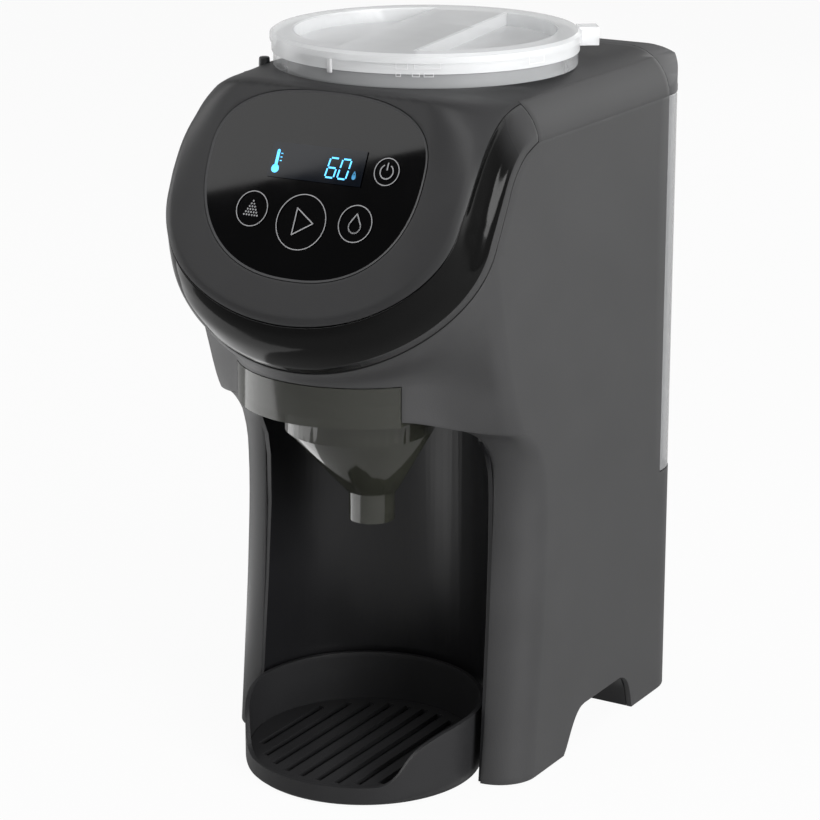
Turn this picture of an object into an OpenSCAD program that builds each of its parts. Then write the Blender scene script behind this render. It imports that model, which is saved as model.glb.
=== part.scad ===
// Baby formula maker: countertop machine that meters milk powder and warm water into a vessel.
// +Z is up, the front faces -Y, the origin is under the middle of the machine on the worktop.

/* [Overall] */
// Width across the side walls
body_w = 157; // [150:1:200]
// Depth from the front of the mask to the lip of the tank cap
body_d = 238; // [225:1:300]
// Height of the flat top, without the powder lid
body_h = 317; // [270:1:400]
// Height of the head, from the bay's ceiling to the flat top
head_h = 141; // [138:1:160]

/* [Casing] */
// Wall of the moulded casings
shell_t = 2.6; // [2:0.1:3.5]
// Radius of the long edges between sides and top
top_r = 22; // [16:1:26]
// Radius of the upright rear corners
rear_r = 22; // [12:1:26]
// Radius of the upright front corners of the legs
leg_r = 18; // [8:1:20]
// Half width of the top cover at its seam
seam_x = 70; // [66:0.5:72]
// Gap under the machine between the front legs and the rear foot
notch_h = 19.5; // [12:0.5:24]

/* [Head] */
// Lean of the touch panel from upright
panel_tilt = 26; // [20:1:30]
// Half width of the touch glass
glass_hw = 54; // [48:1:58]
// Radius of the nose under the head
nose_r = 56; // [52:1:60]
// Thickness of the mask round the touch glass
mask_t = 3.2; // [2.8:0.1:4]

/* [Bay] */
// Inner radius of the curved bay wall
bay_r = 59; // [57:0.5:62]
// Wall of the bay liner
liner_t = 2.2; // [1.6:0.1:3]

/* [Funnel] */
// Radius of the funnel's bowl
bowl_r = 33.5; // [28:0.5:35]
// Outer radius of the funnel's nozzle
nozzle_r = 10.4; // [8:0.2:12]
// Length of the funnel's nozzle
nozzle_l = 14; // [8:1:20]
// Half width of the funnel's front band and deck
band_hw = 42; // [38:1:44]
// Height of the funnel's front band
band_h = 18; // [14:0.5:19]

/* [Drip tray] */
// Outer radius of the drip tray
tray_r = 55; // [50:0.5:56]
// Height of the tray's sides
tray_h = 32; // [24:1:40]
// Height of the tray's low front edge
tray_front_h = 9.5; // [9:0.5:14]

/* [Water tank] */
// Depth of the tank bay behind the upper casing
tank_d = 25.8; // [22:0.2:36]
// Height of the shelf that the tank stands on
shelf_z = 113; // [100:1:130]
// Wall of the tank
tank_t = 2.2; // [1.6:0.1:3]

/* [Powder container] */
// Outer radius of the powder container
tub_r = 62; // [56:0.5:62]
// Depth of the powder container below the top cover
tub_depth = 95; // [80:1:96]
// Outer radius of the lid
lid_r = 69.5; // [69:0.1:71]
// Height of lid and container rim above the top cover
lid_h = 15; // [13:0.5:18]

/* [Drive] */
// Gear module
gear_m = 1; // [1:0.25:1]
// Teeth of the drive gear
gear_teeth = 60; // [54:6:60]
// Teeth of the motor pinion
pinion_teeth = 15; // [12:1:18]
// Radius of the drive motor
motor_r = 17.5; // [12:0.5:18]

/* [Hidden] */
$fn = 48;
gap = 0.3;                       // clearance between separate pieces
ground = 1;                      // casing edge above the worktop
hw = body_w / 2;
front_y = -body_d / 2;
rear_y = body_d / 2;
cap_lip = 1.5;
back_y = rear_y - cap_lip;       // back of the lower casing and of the tank
tank_y = back_y - tank_d;        // back of the upper casing
bay_y = front_y + 69;            // centre of nose, bay and tray
leg_y = bay_y + 2;               // front of the legs at the floor
bay_h = body_h - head_h;         // ceiling of the bay
cove_z = bay_h - 41;             // where the legs start to sweep forwards
side_in = hw - shell_t;
lid_y = bay_y + 54;              // axis of powder container, lid and drive
far = 400;                       // reach of a cutting box

// Touch panel: a plane through the middle of the start key, leaning back
mask_low = 46;                   // depth of the mask below the start key
pan_y = front_y + mask_low * sin(panel_tilt);
pan_z = body_h - 53.2;
ring_back = -22;                 // rear edge of the head ring, from the panel plane
ring_top = 46;                   // where the ring gives way to the casing's cheeks
ring_low = 62;                   // depth of the ring below the start key
function on_plane_y(off, v) = pan_y - off * cos(panel_tilt) + v * sin(panel_tilt);
function on_plane_z(off, v) = pan_z + off * sin(panel_tilt) + v * cos(panel_tilt);

// Points along a superellipse from angle a0 to a1, centred at height c
function curve(a, b, n, c, a0, a1, k) = [for (i = [0:k]) let (t = a0 + (a1 - a0) * i / k)
    [a * sign(cos(t)) * pow(abs(cos(t)), 2 / n), c + b * sign(sin(t)) * pow(abs(sin(t)), 2 / n)]];

module on_panel() translate([0, pan_y, pan_z]) rotate([90 - panel_tilt, 0, 0]) children();

// Outlines in the panel plane, each drawn in by g
module ring_outline(g) polygon(concat(
    curve(hw - g, ring_low + 6 - g, 2, 6, 180, 360, 30), [[hw - g, 70], [g - hw, 70]]));
module mask_outline(g) polygon(concat(
    curve(hw - 3.5 - g, mask_low + 8 - g, 2, 8, 180, 360, 30),
    [[hw - 3.5 - g, 25], [hw - 5 - g, 42], [seam_x - g, 62], [g - seam_x, 62],
     [g + 5 - hw, 42], [g + 3.5 - hw, 25]]));
module glass_outline(g) polygon(concat(
    curve(glass_hw - g, 51 - g, 2.3, 25, 180, 360, 30),
    curve(glass_hw - g, 32.5 - g, 2.7, 25, 8, 172, 20)));

// Plan rectangle with its own radii at the front and rear corners
module rounded(x0, y0, x1, y1, rf, rb) intersection() {
    translate([x0, y0]) square([x1 - x0, y1 - y0]);
    union() {
        translate([x0 + rf, y0]) square([x1 - x0 - 2 * rf, rf + 0.1]);
        translate([x0, y0 + rf]) square([x1 - x0, y1 - y0 - rf - rb]);
        translate([x0 + rb, y1 - rb - 0.1]) square([x1 - x0 - 2 * rb, rb + 0.1]);
        for (x = [x0 + rf, x1 - rf]) translate([x, y0 + rf]) circle(rf);
        for (x = [x0 + rb, x1 - rb]) translate([x, y1 - rb]) circle(rb);
    }
}
module plan_trunk(g) rounded(g - hw, leg_y + g, hw - g, back_y - g, leg_r - g, rear_r - g);
// Plan of the nose: a round front, running by straight flanks into round cheeks
cheek = [hw - leg_r, leg_y + 6];
cheek_a = atan2(cheek[1] - bay_y, cheek[0]) - acos((nose_r - leg_r) / norm([cheek[0], cheek[1] - bay_y]));
function arc(c, r, a0, a1, k) = [for (i = [0:k]) let (a = a0 + (a1 - a0) * i / k) c + r * [cos(a), sin(a)]];
module plan_nose(g) polygon(concat(
    arc([-cheek[0], cheek[1]], leg_r - g, 180, 180 - cheek_a, 8),
    arc([0, bay_y], nose_r - g, 180 - cheek_a, 360 + cheek_a, 30),
    arc(cheek, leg_r - g, cheek_a, 0, 8),
    [[hw - g, tank_y + 10], [g - hw, tank_y + 10]]));
module along_x(x0, x1) translate([x0, 0, 0]) rotate([90, 0, 90]) linear_extrude(x1 - x0) children();
module along_y(y0, y1) translate([0, y1, 0]) rotate([90, 0, 0]) linear_extrude(y1 - y0) children();

// Front view of the casing: straight sides and round upper edges
module front_profile(g) polygon(concat([[g - hw, -far], [hw - g, -far]],
    arc([hw - top_r, body_h - top_r], top_r - g, 0, 90, 10),
    arc([top_r - hw, body_h - top_r], top_r - g, 90, 180, 10)));
// Side view of the casing: curved legs, cove, nose, sloping head seat, tank bay and floor notch
cove_r = 39.5;
cove = [for (a = [0:15:90]) [bay_y - 28 + cove_r * cos(a), cove_z + cove_r * sin(a)]];
notch_y0 = leg_y + 46;
notch_y1 = notch_y0 + 69;
notch = [[notch_y1, ground], [notch_y1 - 2, ground + 9], [notch_y1 - 6, ground + 16],
    [notch_y1 - 12, ground + notch_h], [notch_y0 + 20, ground + notch_h],
    [notch_y0 + 13, ground + notch_h - 4], [notch_y0 + 6, ground + 7], [notch_y0, ground]];
nose_y = bay_y - nose_r;
module side_profile() polygon(concat(
    [[leg_y, ground], [leg_y + 3.5, 38], [leg_y + 7, 75], [leg_y + 9.5, cove_z - 23]], cove,
    [[nose_y - 1, bay_h + 0.5], [front_y - 5, bay_h + 3], [front_y - 5, body_h + 5],
     [tank_y, body_h + 5], [tank_y, shelf_z], [back_y, shelf_z], [back_y, ground]], notch));
module side_inset(g) offset(delta = -g) side_profile();

// Flare between the nose and the back of the head ring
module head_flare(g) hull() {
    on_panel() translate([0, 0, ring_back - 0.1 - g]) linear_extrude(0.1) ring_outline(g);
    translate([0, 0, bay_h]) linear_extrude(0.1) plan_nose(g);
}
head_back = on_plane_y(ring_back - shell_t - 1, 66);
module casing(g) intersection() {
    union() {
        linear_extrude(cove_z) plan_trunk(g);
        translate([0, 0, cove_z]) linear_extrude(bay_h - cove_z) plan_nose(g);
        head_flare(g);
        // rear of the upper casing
        translate([g - hw, head_back, bay_h]) cube([2 * (hw - g), tank_y + 10 - head_back, head_h]);
    }
    along_x(-hw, hw) side_inset(g);
    along_y(-far, far) front_profile(g);
}
// Tapering skirt of the head, between the mask and the casing
module head_frustum(g, back) on_panel() hull() {
    translate([0, 0, ring_back - back]) linear_extrude(0.1) ring_outline(g);
    translate([0, 0, -mask_t - gap - 0.1]) linear_extrude(0.1) mask_outline(g);
}
module head_skirt(back) difference() {
    head_frustum(0, back);
    head_frustum(shell_t, back + 1);
    on_panel() linear_extrude(2 * far, center = true) mask_outline(shell_t);
}

base_t = 2.4;
screw_xy = [[hw - 6.7, notch_y0 + 32], [hw - 6.7, back_y - 24], [hw - 6.7, leg_y + 27]];
screw_z = [ground + notch_h, ground, ground];
boss_l = 16;
module at_screws() for (s = [-1, 1], i = [0:2])
    translate([s * screw_xy[i][0], screw_xy[i][1], screw_z[i]]) children();
board_y = [bay_y + 54, bay_y + 124];
board_z = [46, 96];
power_z = [104, 144];
gland_x = 14 - hw + rear_r;
gland_z = 30;
gland_r = 5.6;

module bay_space(g) {
    translate([0, bay_y, -1]) cylinder(r = bay_r + liner_t + g, h = bay_h + 1);
    translate([-bay_r - liner_t - g, bay_y - far, -1]) cube([2 * (bay_r + liner_t + g), far, bay_h - 26]);
    translate([0, 0, -1]) linear_extrude(bay_h + 6) intersection() {
        plan_nose(shell_t);
        translate([-bay_r - liner_t - g, bay_y - far]) square([2 * (bay_r + liner_t + g), far]);
    }
}
module main_housing() color("#4b4b4d") difference() {
    union() {
        difference() {
            casing(0);
            casing(shell_t);
            on_panel() translate([0, 0, ring_back - 12]) linear_extrude(far) ring_outline(shell_t + 1.6);
            translate([-seam_x, on_plane_y(0, 60) - far, body_h - 12]) cube([2 * seam_x, far + far, far]);
            // open back and shelf for the tank bay
            translate([0, 0, shelf_z - shell_t - gap]) linear_extrude(far) intersection() {
                plan_trunk(shell_t);
                translate([-far / 2, tank_y - shell_t - gap]) square([far, far]);
            }
            // open underside for the base plate
            translate([0, 0, -1]) linear_extrude(ground + notch_h + base_t + 4) plan_trunk(shell_t);
        }
        intersection() {
            head_skirt(1);
            on_panel() translate([-far / 2, ring_top + gap, -far]) cube([far, far, 2 * far]);
            along_y(-far, far) front_profile(0);
            translate([-far, -far, 0]) cube([2 * far, 2 * far, body_h - 8.5]);
        }
        intersection() {
            at_screws() translate([0, 0, base_t]) cylinder(r = 4.2, h = boss_l);
            casing(0.5);
        }
        for (y = board_y, z = board_z) translate([-side_in - 0.5, y, z]) rotate([0, 90, 0])
            cylinder(r = 3, h = 4.5);
        for (y = board_y, z = power_z) translate([side_in - 4, y, z]) rotate([0, 90, 0])
            cylinder(r = 3, h = 4.5);
    }
    bay_space(gap);
    at_screws() cylinder(r = 1.55, h = boss_l - 2);
    // opening for the funnel's band
    translate([-band_hw - gap, -far, bay_h - 10]) cube([2 * (band_hw + gap), far + bay_y, 10 + band_h + 2 * gap]);
    translate([gland_x, back_y, gland_z]) rotate([90, 0, 0]) cylinder(r = gland_r, h = 20, center = true);
}

cover_y = on_plane_y(0, (body_h - pan_z) / cos(panel_tilt)) + 1.5;
post_x = glass_hw + 4.5;
latch_x = 65;
latch_y = lid_y - 37;
module top_cover() color("#414142") difference() {
    union() {
        difference() {
            intersection() {
                translate([gap - seam_x, cover_y, body_h - 11])
                    cube([2 * (seam_x - gap), tank_y - cover_y, 20]);
                along_y(-far, far) front_profile(0);
            }
            along_y(-far, far) front_profile(shell_t);
        }
        intersection() {
            on_panel() translate([0, 0, -mask_t]) linear_extrude(mask_t) mask_outline(0);
            along_y(-far, far) front_profile(0);
        }
        on_panel() for (x = [-post_x, post_x], y = [0, 44]) translate([x, y, board_off])
            cylinder(r = 3, h = -board_off - 1);
    }
    on_panel() translate([0, 0, -2]) linear_extrude(10) glass_outline(-0.25);
    on_panel() translate([0, 0, -mask_t - 1]) linear_extrude(10) glass_outline(2.5);
    translate([0, lid_y, body_h - 30]) cylinder(r = tub_r + 1.6, h = 60);
    translate([-latch_x, latch_y, body_h - 20]) cylinder(r = 3.7, h = 40);
}
module lid_latch() color("#242425") translate([-latch_x, latch_y, body_h - 12]) {
    cylinder(r = 3.4, h = 13.5);
    translate([0, 0, 13.5]) cylinder(r = 4.2, h = 3);
}
module head_ring() color("#101011") intersection() {
    head_skirt(0);
    on_panel() translate([-far / 2, ring_top - far, -far]) cube([far, far, 2 * far]);
}
module control_glass() color("#0b0b0d") on_panel()
    translate([0, 0, -2]) linear_extrude(2.3) glass_outline(0);

board_off = -mask_t - 4;
module display_module() color("#30343a") on_panel()
    translate([-27, 18, board_off]) cube([54, 19, -board_off - 2.2]);
module control_board() color("#1f5a3a") on_panel() translate([0, 0, board_off - 1.6]) {
    translate([-post_x - 4, -8, 0]) cube([2 * post_x + 8, 60, 1.6]);
    translate([-39, -2, -5]) cube([12, 16, 5.1]);
    translate([20, 10, -3]) cube([16, 16, 3.1]);
}

// Bay
module bay_liner() color("#232324") intersection() {
    difference() {
        translate([0, bay_y, 0]) cylinder(r = bay_r + liner_t, h = bay_h - shell_t);
        translate([0, bay_y, -1]) cylinder(r = bay_r, h = bay_h + 2);
        translate([-far / 2, bay_y - far, -1]) cube([far, far, far]);
    }
    along_x(-hw, hw) side_inset(gap);
}
bowl_y = bay_y - 3;
nozzle_y = bay_y + 7;
runner_in = 2.6;
runner_y0 = nose_y + 30;
runner_y1 = bay_y + 42;
module funnel_carrier() color("#2a2a2b") {
    translate([0, 0, bay_h - shell_t]) linear_extrude(shell_t) difference() {
        intersection() {
            plan_nose(shell_t + gap);
            union() {
                translate([0, bay_y]) circle(bay_r + liner_t);
                translate([-bay_r - liner_t, bay_y - far]) square([2 * (bay_r + liner_t), far]);
            }
        }
        translate([0, bowl_y]) circle(bowl_r + 1.5);
        translate([-bowl_r - 1.5, bowl_y - far]) square([2 * bowl_r + 3, far]);
    }
    for (s = [-1, 1]) {
        translate([s * (band_hw + 2) - 1.6, runner_y0, bay_h - 0.5])
            cube([3.2, runner_y1 - runner_y0, 6.5]);
        translate([s * (band_hw + 2 - runner_in / 2) - runner_in / 2 - 0.6, runner_y0, bay_h + 3.7])
            cube([runner_in + 1.2, runner_y1 - runner_y0, 2.3]);
    }
}
deck_t = 3;
bowl_z = bay_h - 14;
cone_z = bowl_z - 32;
function bowl_in() = bowl_r - 2.2;
module funnel() color("#5a5c50") difference() {
    union() {
        translate([0, 0, bay_h + gap]) linear_extrude(deck_t) intersection() {
            plan_nose(0);
            translate([-band_hw, -far]) square([2 * band_hw, far + runner_y1 - 8]);
        }
        translate([0, 0, bay_h + gap]) linear_extrude(band_h) intersection() {
            difference() { plan_nose(0); plan_nose(2.4); }
            translate([-band_hw, -far]) square([2 * band_hw, far + bay_y]);
        }
        translate([0, bowl_y, bowl_z]) cylinder(r = bowl_r, h = bay_h + gap - bowl_z + 1);
        hull() {
            translate([0, bowl_y, bowl_z]) cylinder(r = bowl_r, h = 0.1);
            translate([0, nozzle_y, cone_z]) cylinder(r = nozzle_r + 1.6, h = 0.1);
        }
        translate([0, nozzle_y, cone_z - nozzle_l]) cylinder(r = nozzle_r, h = nozzle_l + 2);
    }
    translate([0, bowl_y, bowl_z + 1.5]) cylinder(r = bowl_in(), h = 60);
    hull() {
        translate([0, bowl_y, bowl_z + 1.5]) cylinder(r = bowl_in(), h = 0.1);
        translate([0, nozzle_y, cone_z + 1.5]) cylinder(r = nozzle_r - 2, h = 0.1);
    }
    translate([0, nozzle_y, cone_z - nozzle_l - 1]) cylinder(r = nozzle_r - 2, h = nozzle_l + 4);
}
tray_t = 2;
tray_z = ground;
grid_t = 2.2;
grid_z = tray_front_h - 1 - grid_t;
scoop_r = 7;
scoop_hw = tray_r * sin(60);
module drip_tray() color("#2f2f30") difference() {
    union() {
        // pads under the tray, and the tab that docks it against the bay wall
        for (a = [90, 210, 330]) translate([0, bay_y, 0]) rotate(a) translate([tray_r - 10, 0, 0])
            cylinder(r = 4, h = tray_z + 1);
        translate([-7, bay_y + tray_r - 1.5, tray_h - 15]) cube([14, bay_r - tray_r + 0.8, 10]);
        difference() {
            translate([0, bay_y, tray_z]) cylinder(r = tray_r, h = tray_h - tray_z);
            translate([0, bay_y, tray_z + tray_t]) cylinder(r = tray_r - tray_t, h = far);
        }
        translate([0, bay_y, tray_z]) difference() {
            cylinder(r = tray_r - 0.5, h = grid_z - tray_z);
            translate([0, 0, tray_t]) cylinder(r = tray_r - tray_t - 2.5, h = far);
        }
    }
    along_y(bay_y - far, bay_y) polygon(concat(
        [[scoop_r - scoop_hw, tray_front_h], [scoop_hw - scoop_r, tray_front_h]],
        [for (a = [-80:10:0]) [scoop_hw - scoop_r + scoop_r * cos(a), tray_front_h + scoop_r + scoop_r * sin(a)]],
        [[scoop_hw + 1, tray_h - 5], [tray_r + 1, tray_h + 0.1], [tray_r + 1, far], [-tray_r - 1, far],
         [-tray_r - 1, tray_h + 0.1], [-scoop_hw - 1, tray_h - 5]],
        [for (a = [180:10:260]) [scoop_r - scoop_hw + scoop_r * cos(a), tray_front_h + scoop_r + scoop_r * sin(a)]]));
}
slot_pitch = 8.9;
slot_w = 3.4;
grid_r = tray_r - tray_t - gap;
module drip_grid() color("#2b2b2c") translate([0, bay_y, grid_z]) difference() {
    cylinder(r = grid_r, h = grid_t);
    for (i = [-5:4]) let (x = (i + 0.5) * slot_pitch, l = sqrt(pow(grid_r - 5, 2) - x * x))
        translate([x - slot_w / 2, -l, -1]) cube([slot_w, 2 * l, grid_t + 2]);
}

// Base
foot_r = 6;
foot_xy = [[hw - 9.5, leg_y + 17], [hw - rear_r, back_y - 12]];
module at_feet() for (s = [-1, 1], p = foot_xy) translate([s * p[0], p[1], 0]) children();
module base_plate() color("#2c2c2d") difference() {
    intersection() {
        along_x(gap - side_in, side_in - gap) difference() {
            side_profile();
            translate([0, base_t]) side_profile();
        }
        linear_extrude(ground + notch_h + base_t) plan_trunk(shell_t + gap);
    }
    bay_space(gap);
    translate([-far / 2, leg_y - far + 6, 0]) cube([far, far, far]);
    at_screws() { translate([0, 0, -1]) cylinder(r = 1.7, h = 9); translate([0, 0, -1]) cylinder(r = 3.3, h = 2.2); }
    at_feet() cylinder(r = foot_r + 0.1, h = ground + 1);
}
module rubber_feet() color("#181818") at_feet() cylinder(r = foot_r, h = ground + 0.9);
module base_screws() color("#9a9a9a") at_screws() {
    cylinder(r = 3, h = 1.1);
    cylinder(r = 1.45, h = 14);
}

// Tank bay, tank and its valve
dock_x = 52;
dock_y = tank_y + tank_d / 2;
neck_r = 7;                      // tank outlet neck
neck_l = 9;
seat_r = neck_r - 2.4;           // bore of the neck, closed by the valve's disc
module rear_cover() color("#3a3a3b") difference() {
    union() {
        intersection() {
            along_y(tank_y - shell_t, tank_y) front_profile(shell_t + gap);
            translate([-hw, -far, shelf_z - shell_t]) cube([body_w, 2 * far, body_h]);
        }
        intersection() {
            translate([0, 0, shelf_z - shell_t]) linear_extrude(shell_t) plan_trunk(shell_t + gap);
            translate([-hw, tank_y - shell_t, 0]) cube([body_w, far, far]);
        }
    }
    translate([dock_x, dock_y, shelf_z - 20]) cylinder(r = neck_r + 1, h = 40);
}
tank_top = body_h - top_r;
tank_floor = shelf_z + gap + 2.4;
module plan_tank(g) rounded(gap - hw + g, tank_y + gap + g, hw - gap - g, back_y - g, 3 - g * 0.9, rear_r - g);
module water_tank() color("#c4c8ca") difference() {
    union() {
        translate([0, 0, shelf_z + gap]) linear_extrude(tank_top - shelf_z - gap) plan_tank(0);
        translate([dock_x, dock_y, shelf_z + gap - neck_l]) cylinder(r = neck_r, h = neck_l + 1);
    }
    translate([0, 0, tank_floor]) linear_extrude(far) plan_tank(tank_t);
    translate([dock_x, dock_y, 0]) cylinder(r = seat_r, h = far);
}
cap_r = top_r - 3;
module cap_profile(g) {
    translate([tank_y + gap + g, tank_top + gap]) square([tank_d - gap - 2 * g, 3 - g]);
    translate([tank_y + gap + g, tank_top + gap]) square([tank_d - gap - cap_r - g, top_r - gap - g]);
    intersection() {
        translate([back_y - cap_r, body_h - cap_r]) circle(cap_r - g);
        translate([tank_y, tank_top + gap]) square([tank_d, far]);
    }
}
module tank_cap() color("#49494b") {
    difference() {
        intersection() {
            along_x(-hw, hw) cap_profile(0);
            along_y(-far, far) front_profile(0);
            linear_extrude(body_h) plan_tank(0);
        }
        intersection() {
            translate([0, 0, -2]) along_x(-hw, hw) cap_profile(tank_t);
            along_y(-far, far) front_profile(tank_t);
            linear_extrude(body_h) plan_tank(tank_t);
        }
        translate([0, 0, tank_top - 1]) linear_extrude(2.4) plan_tank(tank_t);
    }
    // lip along the foot of the cap
    translate([0, 0, tank_top + gap]) linear_extrude(3) difference() {
        intersection() {
            rounded(gap - hw, tank_y + gap, hw - gap, rear_y, 3, rear_r + cap_lip);
            translate([-hw, dock_y]) square([body_w, far]);
        }
        plan_tank(tank_t);
    }
}
valve_z = tank_floor;
module tank_valve() color("#d9d9d6") translate([dock_x, dock_y, valve_z]) {
    cylinder(r = neck_r - 0.8, h = 1.8);
    translate([0, 0, -10.6]) cylinder(r = 1.6, h = 22);
}
cage_h = 14;
module valve_spring() color("#b5b5b5") translate([dock_x, dock_y, valve_z + 1.9]) difference() {
    cylinder(r = 4.6, h = cage_h - 1.9 - 1.8 - 0.1);
    translate([0, 0, -1]) cylinder(r = 3.6, h = 30);
}
module valve_cage() color("#e2e2df") translate([dock_x, dock_y, valve_z]) difference() {
    cylinder(r = neck_r + 1.6, h = cage_h);
    translate([0, 0, -1]) cylinder(r = neck_r + 0.1, h = cage_h - 0.8);
    translate([0, 0, -1]) cylinder(r = 1.9, h = 30);
    for (a = [0, 90]) rotate(a) translate([-20, -3, 3]) cube([40, 6, 7]);
}
dock_z = shelf_z - shell_t;
dock_l = 11;
cup_r = neck_r + 2.6;
module tank_dock() color("#3c3c3e") translate([dock_x, dock_y, 0]) difference() {
    union() {
        // flange that rests on the shelf, kept off the casing's rounded corner
        intersection() {
            translate([-16, 0.7 - cup_r, dock_z - 2]) cube([27, 2 * cup_r - 1.4, 2]);
            translate([-dock_x, -dock_y, 0]) linear_extrude(far) plan_trunk(shell_t + 0.15);
        }
        translate([0, 0, dock_z - dock_l]) cylinder(r = cup_r, h = dock_l);
        translate([0, 0, dock_z - dock_l - 6]) cylinder(r = 3.6, h = 7);
    }
    translate([0, 0, dock_z - dock_l + 2]) cylinder(r = neck_r + 0.9, h = 40);
    difference() {
        translate([0, 0, dock_z - 40]) cylinder(r = 3, h = 60);
        // bar and pin that push the tank's valve open
        translate([-5, -1.2, dock_z - dock_l]) cube([10, 2.4, 2]);
        translate([0, 0, dock_z - dock_l]) cylinder(r = 1.2, h = valve_z - 10.9 - dock_z + dock_l);
    }
}
module dock_seal() color("#b8302a") translate([dock_x, dock_y, dock_z - dock_l + 5.5]) difference() {
    cylinder(r = neck_r + 0.8, h = 2);
    translate([0, 0, -1]) cylinder(r = neck_r + 0.15, h = 4);
}

// Powder container, lid, wheel and stirrer
tub_t = 1.8;
tub_z = body_h - tub_depth;
rim_h = 6;
drop_r = 49;                     // from the axis to the powder outlet
tub_x = [0, lid_y, 0];
module powder_container() color("#d3d6d8") translate(tub_x) difference() {
    union() {
        translate([0, 0, tub_z]) cylinder(r = tub_r, h = tub_depth + 1);
        translate([0, 0, body_h]) cylinder(r = lid_r - 1.5, h = rim_h);
    }
    translate([0, 0, tub_z + 2.2]) cylinder(r = tub_r - tub_t, h = far);
    translate([0, -drop_r, tub_z - 1]) cylinder(r = 8, h = 10);
    translate([0, 0, tub_z - 1]) cylinder(r = 6.5, h = 10);
}
lid_z = body_h + rim_h + gap;
lid_top = body_h + lid_h;
bar_hw = 16;
well_d = 6;
module recess(s, g) rotate(9) intersection() {
    circle(lid_r - 9 - g);
    translate([s > 0 ? bar_hw + g : -far - bar_hw - g, -far / 2]) square([far, far]);
}
module powder_lid() color("#e4e7e8") translate(tub_x) {
    difference() {
        union() {
            translate([0, 0, lid_z]) cylinder(r = lid_r - 0.8, h = lid_top - lid_z - 1.5);
            translate([0, 0, lid_top - 4]) cylinder(r = lid_r, h = 2.8);
            translate([0, 0, lid_top - 1.2]) cylinder(r1 = lid_r, r2 = lid_r - 1.6, h = 1.2, $fn = 96);
        }
        translate([0, 0, lid_z - 1]) cylinder(r = lid_r - 3, h = lid_top - lid_z - 1);
        for (s = [-1, 1]) translate([0, 0, lid_z - 1]) linear_extrude(20) recess(s, 1);
    }
    for (s = [-1, 1]) difference() {
        translate([0, 0, lid_top - well_d - 2]) linear_extrude(well_d + 1.8) recess(s, 0);
        translate([0, 0, lid_top - well_d]) linear_extrude(well_d + 2) recess(s, 1.8);
    }
    // grip lug at the right rear
    rotate(37) translate([lid_r - 1, -5, lid_z + 0.5]) difference() {
        cube([9, 10, lid_top - lid_z - 0.5]);
        translate([1.5, 1.5, -1]) cube([6, 7, lid_top - lid_z - 1.5]);
    }
}
wheel_z = tub_z + 2.5;
wheel_h = 7;
module metering_wheel() color("#c7cacb") translate([0, lid_y, wheel_z]) difference() {
    cylinder(r = tub_r - tub_t - 1, h = wheel_h);
    for (a = [0:45:315]) rotate(a) translate([0, -drop_r, -1]) cylinder(r = 7, h = wheel_h + 2);
    translate([0, 0, -1]) cylinder(r = 4.3, h = 1 + wheel_h - 1.5, $fn = 6);
}
stir_z = wheel_z + wheel_h;
stir_h = body_h - stir_z - 16;
module stirrer() color("#eceeee") translate([0, lid_y, stir_z]) {
    cylinder(r = 8, h = 10);
    cylinder(r = 4, h = stir_h);
    for (a = [20:120:340]) rotate(a) translate([2, -1.5, 0.4]) cube([tub_r - 10, 3, 6]);
    for (a = [50, 230]) rotate(a) translate([2, 0, stir_h - 4]) rotate([35, 0, 0])
        translate([0, -1.2, -14]) cube([tub_r - 14, 2.4, 16]);
}
well_r = tub_r + 1.5;
well_t = 1.8;
well_z = tub_z - 1.5;
well_floor = 2.9;
module container_well() color("#353536") intersection() {
    translate([0, lid_y, 0]) difference() {
        translate([0, 0, well_z - well_floor]) cylinder(r = well_r + well_t, h = far);
        translate([0, 0, well_z]) cylinder(r = well_r, h = far);
        translate([0, 0, well_z - 10]) cylinder(r = 4.4, h = 20);
        translate([0, -drop_r, well_z - 10]) cylinder(r = 9, h = 20);
    }
    along_y(-far, far) front_profile(shell_t + gap);
}

// Drive: motor, pinion, gear and shaft under the well
gear_h = 6;
case_h = 15.6;
case_t = 2.2;
case_top = well_z - well_floor;
case_z = case_top - case_h;
gear_z = case_z + case_t + 2.5;
gear_pr = gear_m * gear_teeth / 2;
pinion_pr = gear_m * pinion_teeth / 2;
motor_y = lid_y + gear_pr + pinion_pr;
shaft_r = 3.5;
module gear(n, h, turn) {
    pr = gear_m * n / 2;
    rf = pr - 1.25 * gear_m;
    ro = pr + 0.9 * gear_m;
    w = 360 / n;
    linear_extrude(h) union() {
        circle(rf + 0.05, $fn = 96);
        for (i = [0:n - 1]) rotate(turn + i * w) polygon([
            [rf - 0.5, -rf * sin(w * 0.27)], [pr, -pr * sin(w * 0.22)], [ro, -ro * sin(w * 0.11)],
            [ro, ro * sin(w * 0.11)], [pr, pr * sin(w * 0.22)], [rf - 0.5, rf * sin(w * 0.27)]]);
    }
}
module drive_gear() color("#e8e3d2") translate([0, lid_y, gear_z]) difference() {
    gear(gear_teeth, gear_h, 90);
    translate([0, 0, -1]) cylinder(r = shaft_r + 0.05, h = 20);
}
module drive_shaft() color("#b9bbbd") translate([0, lid_y, 0]) {
    translate([0, 0, case_z - 2]) cylinder(r = shaft_r, h = tub_z - case_z + 2);
    translate([0, 0, tub_z - 0.1]) cylinder(r = 4, h = wheel_h, $fn = 6);
}
module shaft_bush() color("#a9812f") translate([0, lid_y, case_z - 2]) difference() {
    union() { cylinder(r = 6, h = 2 + case_t); cylinder(r = 8, h = 2); }
    translate([0, 0, -1]) cylinder(r = shaft_r + 0.06, h = 20);
}
module case_outline(g) hull() {
    translate([0, lid_y]) circle(gear_pr + 4 - g);
    translate([0, motor_y]) circle(motor_r + 4 - g);
}
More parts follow.
